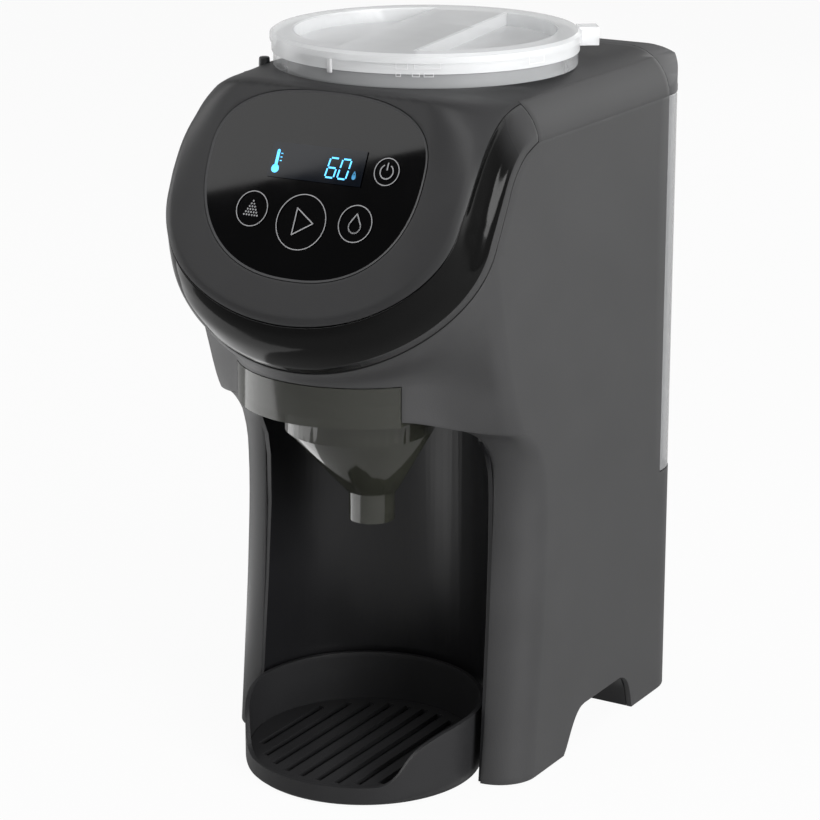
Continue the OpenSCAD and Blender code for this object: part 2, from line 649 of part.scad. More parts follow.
module gearbox_case() color("#4d5258") translate([0, 0, case_z]) difference() {
    linear_extrude(case_h) case_outline(0);
    translate([0, 0, case_t]) linear_extrude(case_h) case_outline(case_t);
    translate([0, lid_y, -1]) cylinder(r = 6.1, h = 10);
    translate([0, motor_y, -1]) cylinder(r = 4, h = 10);
}
motor_l = 46;
module drive_motor() color("#8d9196") translate([0, motor_y, case_z - motor_l]) difference() {
    union() {
        cylinder(r = motor_r, h = motor_l);
        translate([0, 0, -3]) cylinder(r = 5, h = 4);
    }
    translate([0, 0, motor_l - 8]) cylinder(r = 2.06, h = 20);
}
module motor_pinion() color("#c9a24a") translate([0, motor_y, 0]) {
    translate([0, 0, case_z - 7]) cylinder(r = 2, h = gear_z - case_z + 7 + gear_h + 1);
    translate([0, 0, gear_z - 0.5]) gear(pinion_teeth, gear_h + 1, -90 + 180 / pinion_teeth);
}
drop_y = lid_y - drop_r;
spout_z = bay_h + 8;
module powder_chute() color("#d8d9d5") translate([0, drop_y, 0]) difference() {
    union() {
        translate([0, 0, spout_z - 0.5]) cylinder(r = 10.4, h = case_top - spout_z + 0.5);
        translate([0, 0, case_top - 2]) cylinder(r = 14, h = 2);
    }
    cylinder(r = 9, h = far);
}
module water_spout() color("#c9cbc8") translate([0, drop_y, spout_z]) difference() {
    union() {
        cylinder(r = 16, h = 6);
        translate([0, 14, 3]) rotate([-90, 0, 0]) cylinder(r = 2.8, h = 9);
    }
    translate([0, 0, -1]) cylinder(r = 10.6, h = 20);
    translate([0, 0, -1]) difference() { cylinder(r = 14.5, h = 4.5); cylinder(r = 12.2, h = 4.5); }
    translate([0, 15, 3]) rotate([-90, 0, 0]) cylinder(r = 1.6, h = 20);
}

// Water path
hose_r = 2.8;
hose_bore = 1.7;
floor_z = ground + notch_h + base_t;
heater_w = 46;
heater_h = 62;
heater_y0 = bay_y + bay_r + liner_t + 3.5;
heater_d = 36;
rise_y = heater_y0 + 4.5;
module heater_block() color("#aeb2b5") {
    translate([-heater_w / 2, heater_y0, floor_z]) cube([heater_w, heater_d, heater_h]);
    translate([0, rise_y, floor_z + heater_h - 1]) cylinder(r = hose_r, h = 9);
    translate([heater_w / 2 - 1, pump_y, pump_out_z]) rotate([0, 90, 0]) cylinder(r = hose_r, h = 5);
}
module thermostats() color("#2f3033") for (x = [-15, 15])
    translate([x, heater_y0 + 22, floor_z + heater_h]) { cylinder(r = 7.5, h = 3); cylinder(r = 4.5, h = 7); }
pump_r = 14;
pump_x = dock_x;
pump_y = heater_y0 + 22;
pump_h = 50;
pump_out_z = floor_z + 40;
pump_in_z = floor_z + 14;
module water_pump() color("#5d6166") translate([pump_x, pump_y, 0]) {
    translate([0, 0, floor_z]) cylinder(r = pump_r, h = pump_h);
    translate([1 - pump_r, 0, pump_out_z]) rotate([0, -90, 0]) cylinder(r = hose_r, h = 5);
    translate([0, pump_r - 1, pump_in_z]) rotate([-90, 0, 0]) cylinder(r = hose_r, h = 6);
}
module tube(l) difference() { cylinder(r = hose_r, h = l); translate([0, 0, -1]) cylinder(r = hose_bore, h = l + 2); }
module bend(r) rotate_extrude(angle = 90) translate([r, 0]) difference() { circle(hose_r); circle(hose_bore); }
module heater_hose() color("#cfd8da") translate([heater_w / 2 + 4, pump_y, pump_out_z])
    rotate([0, 90, 0]) tube(pump_x - pump_r - 4 - heater_w / 2 - 4);
bend_r = 9;
module spout_hose() color("#cfd8da") {
    translate([0, drop_y + 23, spout_z + 3]) rotate([-90, 0, 0]) tube(rise_y - bend_r - drop_y - 23);
    translate([0, rise_y - bend_r, spout_z + 3 - bend_r]) rotate([90, 0, 90]) bend(bend_r);
    translate([0, rise_y, floor_z + heater_h + 8]) tube(spout_z + 3 - bend_r - floor_z - heater_h - 8);
}
dock_low = dock_z - dock_l - 6;
module pump_hose() color("#cfd8da") translate([dock_x, 0, 0]) {
    translate([0, dock_y, pump_in_z + bend_r]) tube(dock_low - pump_in_z - bend_r);
    translate([0, dock_y - bend_r, pump_in_z + bend_r]) mirror([0, 0, 1]) rotate([90, 0, 90]) bend(bend_r);
    translate([0, pump_y + pump_r + 5, pump_in_z]) rotate([-90, 0, 0]) tube(dock_y - bend_r - pump_y - pump_r - 5);
}

// Boards, gland, sensor and harness
board_x = side_in - 4;
module main_board() color("#1d5c38") {
    translate([-board_x, board_y[0] - 5, board_z[0] - 6])
        cube([1.6, board_y[1] - board_y[0] + 10, board_z[1] - board_z[0] + 12]);
    translate([1.5 - board_x, board_y[0] + 6, board_z[0] + 5]) cube([10, 22, 18]);
    translate([1.5 - board_x, board_y[0] + 40, board_z[0] + 20]) cube([6, 16, 16]);
    translate([1.5 - board_x, board_y[0] + 10, board_z[1] - 8]) cube([7, 30, 6]);
}
module power_board() color("#1d5c38") {
    translate([board_x - 1.6, board_y[0] - 5, power_z[0] - 6])
        cube([1.6, board_y[1] - board_y[0] + 10, power_z[1] - power_z[0] + 12]);
    translate([board_x - 15, board_y[0] + 8, power_z[0] + 4]) cube([14, 24, 20]);
    for (y = [44, 58]) translate([board_x - 15, board_y[0] + y, power_z[0] + 14]) rotate([0, 90, 0])
        cylinder(r = 5, h = 14);
}
module cord_gland() color("#1b1b1b") translate([gland_x, back_y, gland_z]) rotate([90, 0, 0]) difference() {
    union() {
        translate([0, 0, -1.2]) cylinder(r = gland_r + 2, h = 1.2);
        translate([0, 0, -1]) cylinder(r = gland_r - 0.2, h = shell_t + 2);
        translate([0, 0, shell_t]) cylinder(r = gland_r + 1.5, h = 3);
    }
    translate([0, 0, -5]) cylinder(r = 3.4, h = 20);
}
module funnel_sensor() color("#27282b") translate([-7, runner_y1 - 5, bay_h]) cube([14, 7, 6]);
wire_r = 1.8;
wire_off = board_off - 6.6 - wire_r - gap;
wire = [[-33, on_plane_y(wire_off, 2), on_plane_z(wire_off, 2)], [-52, on_plane_y(-34, -12), on_plane_z(-34, -12)],
    [-66, bay_y + 26, bay_h + 26], [-66, bay_y + 56, bay_h - 10], [4 - board_x, bay_y + 70, board_z[1] + 2]];
module wire_harness() color("#202022") {
    for (i = [1:len(wire) - 1]) hull() for (p = [wire[i - 1], wire[i]]) translate(p) sphere(wire_r, $fn = 12);
}

main_housing();
top_cover();
lid_latch();
head_ring();
control_glass();
display_module();
control_board();
bay_liner();
funnel_carrier();
funnel();
drip_tray();
drip_grid();
base_plate();
rubber_feet();
base_screws();
rear_cover();
water_tank();
tank_cap();
tank_valve();
valve_spring();
valve_cage();
tank_dock();
dock_seal();
powder_container();
powder_lid();
metering_wheel();
stirrer();
container_well();
drive_gear();
drive_shaft();
shaft_bush();
gearbox_case();
drive_motor();
motor_pinion();
powder_chute();
water_spout();
heater_block();
thermostats();
water_pump();
heater_hose();
spout_hose();
pump_hose();
main_board();
power_board();
cord_gland();
funnel_sensor();
wire_harness();
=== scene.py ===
import math

import bmesh
import bpy
from mathutils import Matrix, Vector


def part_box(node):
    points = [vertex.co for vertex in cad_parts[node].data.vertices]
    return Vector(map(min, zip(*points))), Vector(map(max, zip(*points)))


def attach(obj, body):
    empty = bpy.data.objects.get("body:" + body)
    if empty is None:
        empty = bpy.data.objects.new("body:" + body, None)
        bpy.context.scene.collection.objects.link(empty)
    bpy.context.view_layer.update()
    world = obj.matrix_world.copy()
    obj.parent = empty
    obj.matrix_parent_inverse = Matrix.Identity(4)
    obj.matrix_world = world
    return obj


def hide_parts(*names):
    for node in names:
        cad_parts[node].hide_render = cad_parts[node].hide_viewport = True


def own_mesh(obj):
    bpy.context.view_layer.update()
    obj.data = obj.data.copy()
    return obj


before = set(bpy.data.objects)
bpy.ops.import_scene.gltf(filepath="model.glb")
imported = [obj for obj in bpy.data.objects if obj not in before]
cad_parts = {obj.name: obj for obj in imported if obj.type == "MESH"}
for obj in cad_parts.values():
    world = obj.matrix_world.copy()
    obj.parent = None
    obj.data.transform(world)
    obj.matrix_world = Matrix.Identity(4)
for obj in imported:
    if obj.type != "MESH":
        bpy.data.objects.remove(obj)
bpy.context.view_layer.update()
scene = bpy.context.scene
mm = 0.001


def aimed(obj, place, aim):
    obj.location = Vector(place) * mm
    obj.rotation_euler = (Vector(aim) - Vector(place)).to_track_quat("-Z", "Y").to_euler()


def linked(name, data):
    obj = bpy.data.objects.new(name, data)
    scene.collection.objects.link(obj)
    return obj


# camera at the photograph's place: 31 degrees to the right, 16.7 degrees up
camera = {"place": (655.8, -1101.0, 540.0), "aim": (12.0, -29.5, 165.0), "lens": 127.3, "sensor": 36, "far": 50}
eye = bpy.data.cameras.new("camera")
eye.lens = camera["lens"]
eye.sensor_width = camera["sensor"]
eye.clip_end = camera["far"]
scene.camera = linked("camera", eye)
aimed(scene.camera, camera["place"], camera["aim"])
scene.view_settings.view_transform = "Standard"


# numbers and curves
def lerp(a, b, t):
    return a + (b - a) * t


def ease(a, b, x):
    t = min(max((x - a) / (b - a), 0), 1)
    return t * t * (3 - 2 * t)


def steps(a, b, n):
    return [a + (b - a) * i / n for i in range(n + 1)]


def through(knots, x):
    # smooth value at x between listed (x, value) pairs; a value is a number or a tuple
    if isinstance(knots[0][1], tuple):
        return tuple(through([(k, v[i]) for k, v in knots], x) for i in range(len(knots[0][1])))
    if x <= knots[0][0]:
        return knots[0][1]
    if x >= knots[-1][0]:
        return knots[-1][1]
    i = max(k for k in range(len(knots) - 1) if knots[k][0] <= x)
    slope = [(v1 - v0) / (k1 - k0) for (k0, v0), (k1, v1) in zip(knots, knots[1:])]

    def turn(k):
        if k == 0:
            return slope[0]
        if k == len(slope):
            return slope[-1]
        if slope[k - 1] * slope[k] <= 0:
            return 0.0
        return 2 * slope[k - 1] * slope[k] / (slope[k - 1] + slope[k])

    h = knots[i + 1][0] - knots[i][0]
    t = (x - knots[i][0]) / h
    a, b = knots[i][1], knots[i + 1][1]
    return (a * (1 + 2 * t) * (1 - t) ** 2 + b * t * t * (3 - 2 * t)
            + h * turn(i) * t * (1 - t) ** 2 - h * turn(i + 1) * t * t * (1 - t))


# mesh helpers, in millimetres
def sheetOf(bm, us, ws, place):
    # a grid whose point at column i and row j goes to place(us[i], ws[j])
    made = bmesh.ops.create_grid(bm, x_segments=len(us) - 1, y_segments=len(ws) - 1, size=1)["verts"]
    for v in made:
        i = round((v.co.x + 1) / 2 * (len(us) - 1))
        j = round((v.co.y + 1) / 2 * (len(ws) - 1))
        v.co = place(us[i], ws[j])
    return made


def mirrored(bm):
    everything = bm.verts[:] + bm.edges[:] + bm.faces[:]
    bmesh.ops.mirror(bm, geom=everything, matrix=Matrix.Identity(4), merge_dist=-1, axis="X")


def turnOut(bm, way=None):
    bmesh.ops.recalc_face_normals(bm, faces=bm.faces[:])
    if way is not None:
        # an open sheet has no inside, so its biggest face tells the way
        face = max(bm.faces, key=lambda f: f.calc_area())
        if face.normal.dot(way(face.calc_center_median())) < 0:
            bmesh.ops.reverse_faces(bm, faces=bm.faces[:])


def weld(bm, dist):
    bmesh.ops.remove_doubles(bm, verts=bm.verts[:], dist=dist)


def moved(bm, vec, verts=None):
    bmesh.ops.translate(bm, vec=vec, verts=verts or bm.verts[:])


def meshOf(name, bm):
    mesh = bpy.data.meshes.new(name)
    bm.to_mesh(mesh)
    bm.free()
    return mesh


def bevelled(obj, width, segments, angle):
    soft = obj.modifiers.new("edge", "BEVEL")
    soft.width = width * mm
    soft.segments = segments
    soft.limit_method = "ANGLE"
    soft.angle_limit = math.radians(angle)
    return soft


bevelFrom = 38  # degrees between faces


def piece(name, bm, materials, body, instead=(), wall=0.0, even=True, edge=0.0, edgeSegments=2,
          smoothAngle=180.0, join=0.02, out=None):
    if join:
        weld(bm, join)
    turnOut(bm, out)
    bmesh.ops.scale(bm, vec=(mm, mm, mm), verts=bm.verts[:])
    mesh = meshOf(name, bm)
    obj = linked(name, mesh)
    for material in materials:
        mesh.materials.append(finish[material])
    mesh.shade_smooth()
    if smoothAngle < 180:
        mesh.set_sharp_from_angle(angle=math.radians(smoothAngle))
    if wall:
        solid = obj.modifiers.new("wall", "SOLIDIFY")
        solid.thickness = wall * mm
        solid.offset = -1
        solid.use_even_offset = even
    if edge:
        bevelled(obj, edge, edgeSegments, bevelFrom)
    if instead:
        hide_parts(*instead)
    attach(obj, body)
    return obj


# materials: sizes in metres, colours linear
detail = {"clouds": 3, "grain": 2, "low": 0.3, "high": 0.7, "roughRange": 0.04, "grainDepth": 0.3}
satin = {"colour": (0.046, 0.046, 0.047), "rough": 0.50, "specular": 0.24}
gloss = {"colour": (0.003, 0.003, 0.003), "rough": 0.11, "specular": 0.14}
# where the head band's gloss turns into the casing's satin: y towards the shoulder, |x| on the lip
fade = {"shoulder": (-0.062, -0.037), "aside": (0.018, 0.052), "lipShare": 0.85}


def madeOf(data):
    data.use_nodes = True
    return data.node_tree.nodes, data.node_tree.links


def mathOf(nodes, links, operation, *values):
    # a value is a socket or a number
    made = nodes.new("ShaderNodeMath")
    made.operation = operation
    for slot, value in zip(made.inputs, values):
        if isinstance(value, (int, float)):
            slot.default_value = value
        else:
            links.new(value, slot)
    return made.outputs[0]


def rangeOf(nodes, links, value, low, high, start=0.0, end=1.0, kind="LINEAR"):
    made = nodes.new("ShaderNodeMapRange")
    made.interpolation_type = kind
    made.inputs["From Min"].default_value = start
    made.inputs["From Max"].default_value = end
    made.inputs["To Min"].default_value = low
    made.inputs["To Max"].default_value = high
    links.new(value, made.inputs["Value"])
    return made.outputs["Result"]


def noiseOf(nodes, links, place, size, levels):
    made = nodes.new("ShaderNodeTexNoise")
    made.inputs["Scale"].default_value = 1 / size
    made.inputs["Detail"].default_value = levels
    links.new(place.outputs["Object"], made.inputs["Vector"])
    return made.outputs["Fac"]


def moulded(name, colour, rough, specular=0.5, grain=0.12, grainSize=0.0006, cloud=0.06, cloudSize=0.03,
            metallic=0.0, alpha=1.0):
    material = bpy.data.materials.new(name)
    nodes, links = madeOf(material)
    shader = nodes["Principled BSDF"]
    shader.inputs["Specular IOR Level"].default_value = specular
    shader.inputs["Metallic"].default_value = metallic
    shader.inputs["Alpha"].default_value = alpha
    place = nodes.new("ShaderNodeTexCoord")
    clouds = noiseOf(nodes, links, place, cloudSize, detail["clouds"])
    tint = nodes.new("ShaderNodeValToRGB")
    ends = ((detail["low"], 1 - cloud), (detail["high"], 1 + cloud))
    for element, (position, share) in zip(tint.color_ramp.elements, ends):
        element.position = position
        element.color = (*[min(c * share, 1) for c in colour], 1)
    links.new(clouds, tint.inputs["Fac"])
    links.new(tint.outputs["Color"], shader.inputs["Base Color"])
    low, high = max(rough - detail["roughRange"], 0.0), min(rough + detail["roughRange"], 1.0)
    links.new(rangeOf(nodes, links, clouds, low, high), shader.inputs["Roughness"])
    if grain:
        bump = nodes.new("ShaderNodeBump")
        bump.inputs["Strength"].default_value = grain
        bump.inputs["Distance"].default_value = grainSize * detail["grainDepth"]
        links.new(noiseOf(nodes, links, place, grainSize, detail["grain"]), bump.inputs["Height"])
        links.new(bump.outputs["Normal"], shader.inputs["Normal"])
    return material


def glowing(name, colour, strength):
    material = moulded(name, colour, 0.4, grain=0)
    shader = material.node_tree.nodes["Principled BSDF"]
    shader.inputs["Emission Color"].default_value = (*colour, 1)
    shader.inputs["Emission Strength"].default_value = strength
    return material


def banded(name, lip):
    # gloss that turns into satin towards the shoulder and, by the share lip, towards the sides
    material = moulded(name, **gloss, grain=0.02, grainSize=0.004)
    nodes, links = material.node_tree.nodes, material.node_tree.links
    shader = nodes["Principled BSDF"]
    split = nodes.new("ShaderNodeSeparateXYZ")
    links.new(nodes.new("ShaderNodeTexCoord").outputs["Object"], split.inputs["Vector"])
    aside = mathOf(nodes, links, "ABSOLUTE", split.outputs["X"])
    share = mathOf(nodes, links, "MAXIMUM",
                   rangeOf(nodes, links, split.outputs["Y"], 0.0, 1.0, *fade["shoulder"], kind="SMOOTHSTEP"),
                   rangeOf(nodes, links, aside, 0.0, fade["lipShare"] * lip, *fade["aside"], kind="SMOOTHSTEP"))
    for socket, key in (("Roughness", "rough"), ("Specular IOR Level", "specular")):
        links.new(rangeOf(nodes, links, share, gloss[key], satin[key]), shader.inputs[socket])
    paint = nodes.new("ShaderNodeMix")
    paint.data_type = "RGBA"
    links.new(share, paint.inputs["Factor"])
    links.new(shader.inputs["Base Color"].links[0].from_socket, paint.inputs["A"])
    paint.inputs["B"].default_value = (*satin["colour"], 1)
    links.new(paint.outputs["Result"], shader.inputs["Base Color"])
    return material


finish = {
    "charcoal": moulded("charcoal moulding", **satin, grain=0.25),
    "mask": moulded("mask moulding", (0.030, 0.030, 0.031), 0.42, specular=0.18, grain=0.2),
    "gloss": banded("gloss black", 0.0), "lip": banded("gloss black lip", 1.0),
    "glass": moulded("touch glass", (0.001, 0.001, 0.0012), 0.04, specular=0.07, grain=0),
    "dark": moulded("dark bay", (0.010, 0.010, 0.011), 0.30, specular=0.34, grain=0.12),
    "tray": moulded("tray plastic", (0.020, 0.020, 0.021), 0.44, specular=0.22, grain=0.2),
    "smoke": moulded("smoke plastic", (0.030, 0.031, 0.024), 0.10, specular=0.6, grain=0, alpha=0.80),
    "milky": moulded("milky plastic", (0.90, 0.91, 0.92), 0.24, grain=0.03, cloud=0.02, alpha=0.56),
    "clear": moulded("clear container", (0.60, 0.61, 0.62), 0.20, grain=0.03, cloud=0.02, alpha=0.40),
    "mark": moulded("moulded mark", (0.72, 0.72, 0.73), 0.3, grain=0, cloud=0.02, alpha=0.85),
    "mixer": moulded("grey mixer plastic", (0.20, 0.20, 0.21), 0.4, cloud=0.04),
    "tank": moulded("tank plastic", (0.315, 0.32, 0.325), 0.22, grain=0.05, cloud=0.05, alpha=0.66),
    "cap": moulded("cap plastic", (0.055, 0.055, 0.057), 0.48, specular=0.3, grain=0.2),
    "rim": moulded("chamfered rim", (0.05, 0.05, 0.052), 0.3, grain=0),
    "dimLit": glowing("dim segments", (0.03, 0.22, 0.42), 0.5),
    "latch": moulded("latch plastic", (0.020, 0.020, 0.021), 0.4, grain=0.1),
    "white": moulded("white plastic", (0.72, 0.72, 0.70), 0.45, cloud=0.02),
    "rubber": moulded("black rubber", (0.022, 0.022, 0.022), 0.75, specular=0.3, grain=0.35, grainSize=0.0008),
    "seal": moulded("seal rubber", (0.16, 0.17, 0.18), 0.7, specular=0.3, grain=0.2),
    "hose": moulded("silicone hose", (0.55, 0.56, 0.56), 0.4, cloud=0.05, alpha=0.8),
    "steel": moulded("turned steel", (0.56, 0.56, 0.57), 0.28, metallic=1, grain=0.1, grainSize=0.0004),
    "motor": moulded("plated steel", (0.42, 0.43, 0.44), 0.36, metallic=1, grain=0.15),
    "cast": moulded("cast aluminium", (0.40, 0.41, 0.42), 0.5, metallic=0.9, grain=0.4, grainSize=0.0012),
    "bronze": moulded("sintered bronze", (0.42, 0.27, 0.12), 0.45, metallic=1, grain=0.3),
    "board": moulded("circuit board", (0.012, 0.095, 0.035), 0.35, grain=0.3, grainSize=0.0015, cloud=0.25,
                     cloudSize=0.004),
    "black": moulded("black fittings", (0.016, 0.016, 0.016), 0.5, grain=0.15),
    "print": moulded("pale print", (0.30, 0.30, 0.31), 0.5, grain=0, cloud=0.03),
    "display": moulded("display window", (0.002, 0.0035, 0.007), 0.05, specular=0.07, grain=0),
    "lit": glowing("lit segments", (0.10, 0.52, 0.95), 1.1),
}
print("materials made")

nodeFinish = {
    "main_housing": "charcoal", "top_cover": "mask", "lid_latch": "latch", "head_ring": "gloss",
    "control_glass": "glass", "display_module": "display", "control_board": "board", "bay_liner": "dark",
    "funnel_carrier": "dark", "funnel": "smoke", "drip_tray": "tray", "drip_grid": "tray",
    "base_plate": "dark", "rubber_feet": "rubber", "base_screws": "steel", "rear_cover": "charcoal",
    "water_tank": "tank", "tank_cap": "cap", "tank_valve": "white", "valve_spring": "steel",
    "valve_cage": "white", "tank_dock": "black", "dock_seal": "seal", "powder_container": "milky",
    "powder_lid": "milky", "metering_wheel": "white", "stirrer": "white", "container_well": "dark",
    "drive_gear": "white", "drive_shaft": "steel", "shaft_bush": "bronze", "gearbox_case": "dark",
    "drive_motor": "motor", "motor_pinion": "steel", "powder_chute": "white", "water_spout": "white",
    "heater_block": "cast", "thermostats": "black", "water_pump": "black", "heater_hose": "hose",
    "spout_hose": "hose", "pump_hose": "hose", "main_board": "board", "power_board": "board",
    "cord_gland": "rubber", "funnel_sensor": "black", "wire_harness": "black",
}
for name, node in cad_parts.items():
    if not node.data.materials:
        node.data.materials.append(None)
    for i in range(len(node.data.materials)):
        node.data.materials[i] = finish[nodeFinish[name]]
print("node finishes set")

# the head's flat panel leans back: x across, v up the panel, off outwards
panel = {"y": -98.83, "z": 263.8, "tilt": math.radians(26)}
inward = Vector((0, 0.899, -0.438))  # the way into the head, off the panel


def onPanel(x, v, off=0.0):
    c, s = math.cos(panel["tilt"]), math.sin(panel["tilt"])
    return Vector((x, panel["y"] - off * c + v * s, panel["z"] + off * s + v * c))


# top cover and mask: crowned between a middle line and a seam line, s being the length up the middle
cover = {
    "seamX": 70.0, "edgeX": 73.3, "edgeB": 52.6, "edgeV": 8.0, "edgeIn": 3.0, "sink": 1.1,
    "hole": 64.0, "lidY": 4.0, "rear": 91.7,
    "wall": 2.6, "rollTop": 57.8, "roll": 8.2, "rollPower": 2.2, "flatFrom": -66.0, "top": 317.0,
}
seamKnots = [
    (8.0, (73.3, -92.6, 269.7)), (17.0, (74.0, -88.2, 277.2)), (30.0, (74.2, -81.0, 288.0)),
    (45.0, (73.2, -70.0, 299.5)), (58.5, (72.0, -56.0, 307.8)), (67.0, (71.3, -46.0, 310.4)),
    (76.0, (70.8, -37.0, 311.6)), (90.0, (70.2, -24.0, 312.3)), (123.0, (70.0, 9.0, 312.4)),
    (205.7, (70.0, 91.7, 312.4)),
]
seamEnd = 76.0  # s where the ring meets the casing's shoulder
sideQ = 0.6  # q where the mask's edge is at the side, level with edgeV
# (s, |x|) where the crown starts to fall, and (s, share of a quarter round that it turns)
crownFrom = [(-46, 45.0), (20, 49.0), (48, 50.0), (62, 43.0), (74, 43.0), (100, 56.5)]
crownDepth = [(0, 0.55), (30, 0.80), (48, 0.75), (62, 0.55), (74, 0.55), (100, 0.614)]


def middleLine(s):
    if s <= cover["rollTop"]:
        p = onPanel(0, s)
        return p.y, p.z
    a = onPanel(0, cover["rollTop"])
    if s < cover["rollTop"] + cover["roll"]:
        t = (s - cover["rollTop"]) / cover["roll"]
        y = lerp(a.y, cover["flatFrom"], t)
        return y, a.z + (cover["top"] - a.z) * (1 - (1 - t) ** cover["rollPower"])
    return cover["flatFrom"] + (s - cover["rollTop"] - cover["roll"]), cover["top"]


def seamLine(s):
    if s <= cover["edgeV"]:
        p = onPanel(0, s, -cover["edgeIn"])
        return cover["edgeX"], p.y, p.z
    return through(seamKnots, s)


def coverPoint(x, s):
    m, q = middleLine(s), seamLine(s)
    start, k = through(crownFrom, s), through(crownDepth, s)
    t = min(max(abs(x) - start, 0) / (q[0] - start), 1.0)
    g = (1 - math.sqrt(max(1 - (k * t) ** 2, 0))) / (1 - math.sqrt(1 - k * k))
    return Vector((x, lerp(m[0], q[1], g), lerp(m[1], q[2], g)))


def maskEdge(q):
    # domain point (x, s) along the mask's edge: q 0 at the bottom, sideQ at the side, 1 at the shoulder
    if q <= sideQ:
        t = math.pi / 2 * q / sideQ
        return cover["edgeX"] * math.sin(t), cover["edgeV"] - cover["edgeB"] * math.cos(t)
    s = lerp(cover["edgeV"], seamEnd, (q - sideQ) / (1 - sideQ))
    return seamLine(s)[0], s


glassShape = {"a": 54.0, "mid": 25.0, "down": 50.7, "up": 32.5, "nDown": 2.3, "nUp": 2.6}


def glassEdge(angle, grow=0.0):
    # angle 0 at the bottom, pi at the top
    c, s = -math.cos(angle), math.sin(angle)
    n = glassShape["nDown"] if c < 0 else glassShape["nUp"]
    a, b = glassShape["a"] + grow, (glassShape["down"] if c < 0 else glassShape["up"]) + grow
    return a * abs(s) ** (2 / n), glassShape["mid"] + math.copysign(b * abs(c) ** (2 / n), c)


def topS(y):
    # s of the flat top's line at y
    return y - cover["flatFrom"] + cover["rollTop"] + cover["roll"]


def holeStart():
    # domain point on the container's hole at the shared line
    y = seamEnd - cover["rollTop"] - cover["roll"] + cover["flatFrom"]
    return math.sqrt(cover["hole"] ** 2 - (y - cover["lidY"]) ** 2), y


edgeU, shareU = 0.62, 0.74  # where the mask half's edge ends, and where its line shared with the rear ends
glassTurn = [(0, 0.0), (0.37, 82.0), (edgeU, 128.0), (shareU, 142.0), (1.0, 180.0)]  # (u, degrees round the glass)
glassGap = 0.3


def coverOuter(u):
    # outer border of the mask half: edge, shared line, hole arc
    if u <= edgeU:
        return maskEdge(u / edgeU)
    hx, hy = holeStart()
    if u <= shareU:
        return lerp(seamLine(seamEnd)[0], hx, (u - edgeU) / (shareU - edgeU)), seamEnd
    a = math.atan2(hx, -(hy - cover["lidY"])) * (1 - (u - shareU) / (1 - shareU))
    return cover["hole"] * math.sin(a), topS(cover["lidY"] - cover["hole"] * math.cos(a))


def maskPlace(u, w):
    # w 0 at the glass, 1 at the outer border, which sinks a little beside the ring
    outerX, outerS = coverOuter(u)
    glassX, glassS = glassEdge(math.radians(through(glassTurn, u)), glassGap)
    p = coverPoint(lerp(glassX, outerX, w), lerp(glassS, outerS, w))
    return p + inward * (cover["sink"] * ease(0.80, 1.0, w) ** 2 * (1 - ease(0.5, edgeU, u)))


# (u, length round the rear border), so that the lines stay nearly square to the hole
rearSide = cover["rear"] - holeStart()[1]
cornerU = 0.758
rearKnots = [(0.0, 0.0), (0.18, 9.0), (0.436, 60.0), (cornerU, rearSide), (1.0, rearSide + cover["seamX"])]


def rearTopPlace(u, w):
    hx, hy = holeStart()
    a = lerp(math.atan2(hy - cover["lidY"], hx), math.pi / 2, u)
    innerX, innerY = cover["hole"] * math.cos(a), cover["lidY"] + cover["hole"] * math.sin(a)
    along = through(rearKnots, u)
    if along <= rearSide:
        outerY = hy + along
        outerX = seamLine(topS(outerY))[0]
    else:
        outerX, outerY = cover["seamX"] - (along - rearSide), cover["rear"]
    return coverPoint(lerp(innerX, outerX, w), topS(lerp(innerY, outerY, w)))


bm = bmesh.new()
maskUs = steps(0, edgeU, 60) + steps(edgeU, shareU, 8)[1:] + steps(shareU, 1, 24)[1:]
sheetOf(bm, maskUs, steps(0, 1, 16), maskPlace)
sheetOf(bm, steps(0, cornerU, 34) + steps(cornerU, 1, 16)[1:], steps(0, 1, 8), rearTopPlace)
weld(bm, 0.05)  # the two sheets share the short line beside the hole
mirrored(bm)
piece("coverMask", bm, ["mask"], "machine", ("top_cover",), wall=cover["wall"], even=False,
      edge=0.45, join=0.05, out=lambda c: Vector((0, -0.5, 1)))
print("top cover made")

# ring: from the mask's edge to the second seam, an ellipse set back in the panel's frame and then the bend
ring = {
    "a": 78.5, "b": 67.4, "v": 6.0, "wall": 2.4, "gap": 0.45, "back": 18.6, "backSide": 11.4, "inset": 0.005,
}
bendKnots = [
    (0.6, (-69.2, 256.1)), (0.68, (-65.4, 262.5)), (0.76, (-61.0, 270.5)), (0.85, (-55.0, 281.5)),
    (0.93, (-45.5, 290.5)), (1.0, (-34.0, 295.0)),
]


def seamTwo(q):
    if q <= sideQ:
        t = math.pi / 2 * q / sideQ
        off = -ring["back"] - ring["backSide"] * math.sin(t) ** 4
        return onPanel(ring["a"] * math.sin(t), ring["v"] - ring["b"] * math.cos(t), off)
    y, z = through(bendKnots, q)
    return Vector((ring["a"], y, z))


ringAcross = (0.25, 0.5, 0.78)
ringShape = [  # (q, bulge off the chord at each place of ringAcross)
    (0.0, (2.6, 3.8, 2.8)), (0.25, (2.6, 3.8, 2.8)), (0.42, (1.6, 2.4, 2.2)), (0.52, (0.0, 0.4, 1.6)),
    (0.62, (-1.5, -1.3, 1.1)), (0.75, (-2.6, -2.2, 0.9)), (0.88, (-1.8, -1.0, 1.2)), (1.0, (1.6, 2.2, 1.6)),
]


def ringEdge(q):
    return coverPoint(*maskEdge(q)) + inward * (cover["sink"] * (1 - ease(0.8, 1.0, q)))


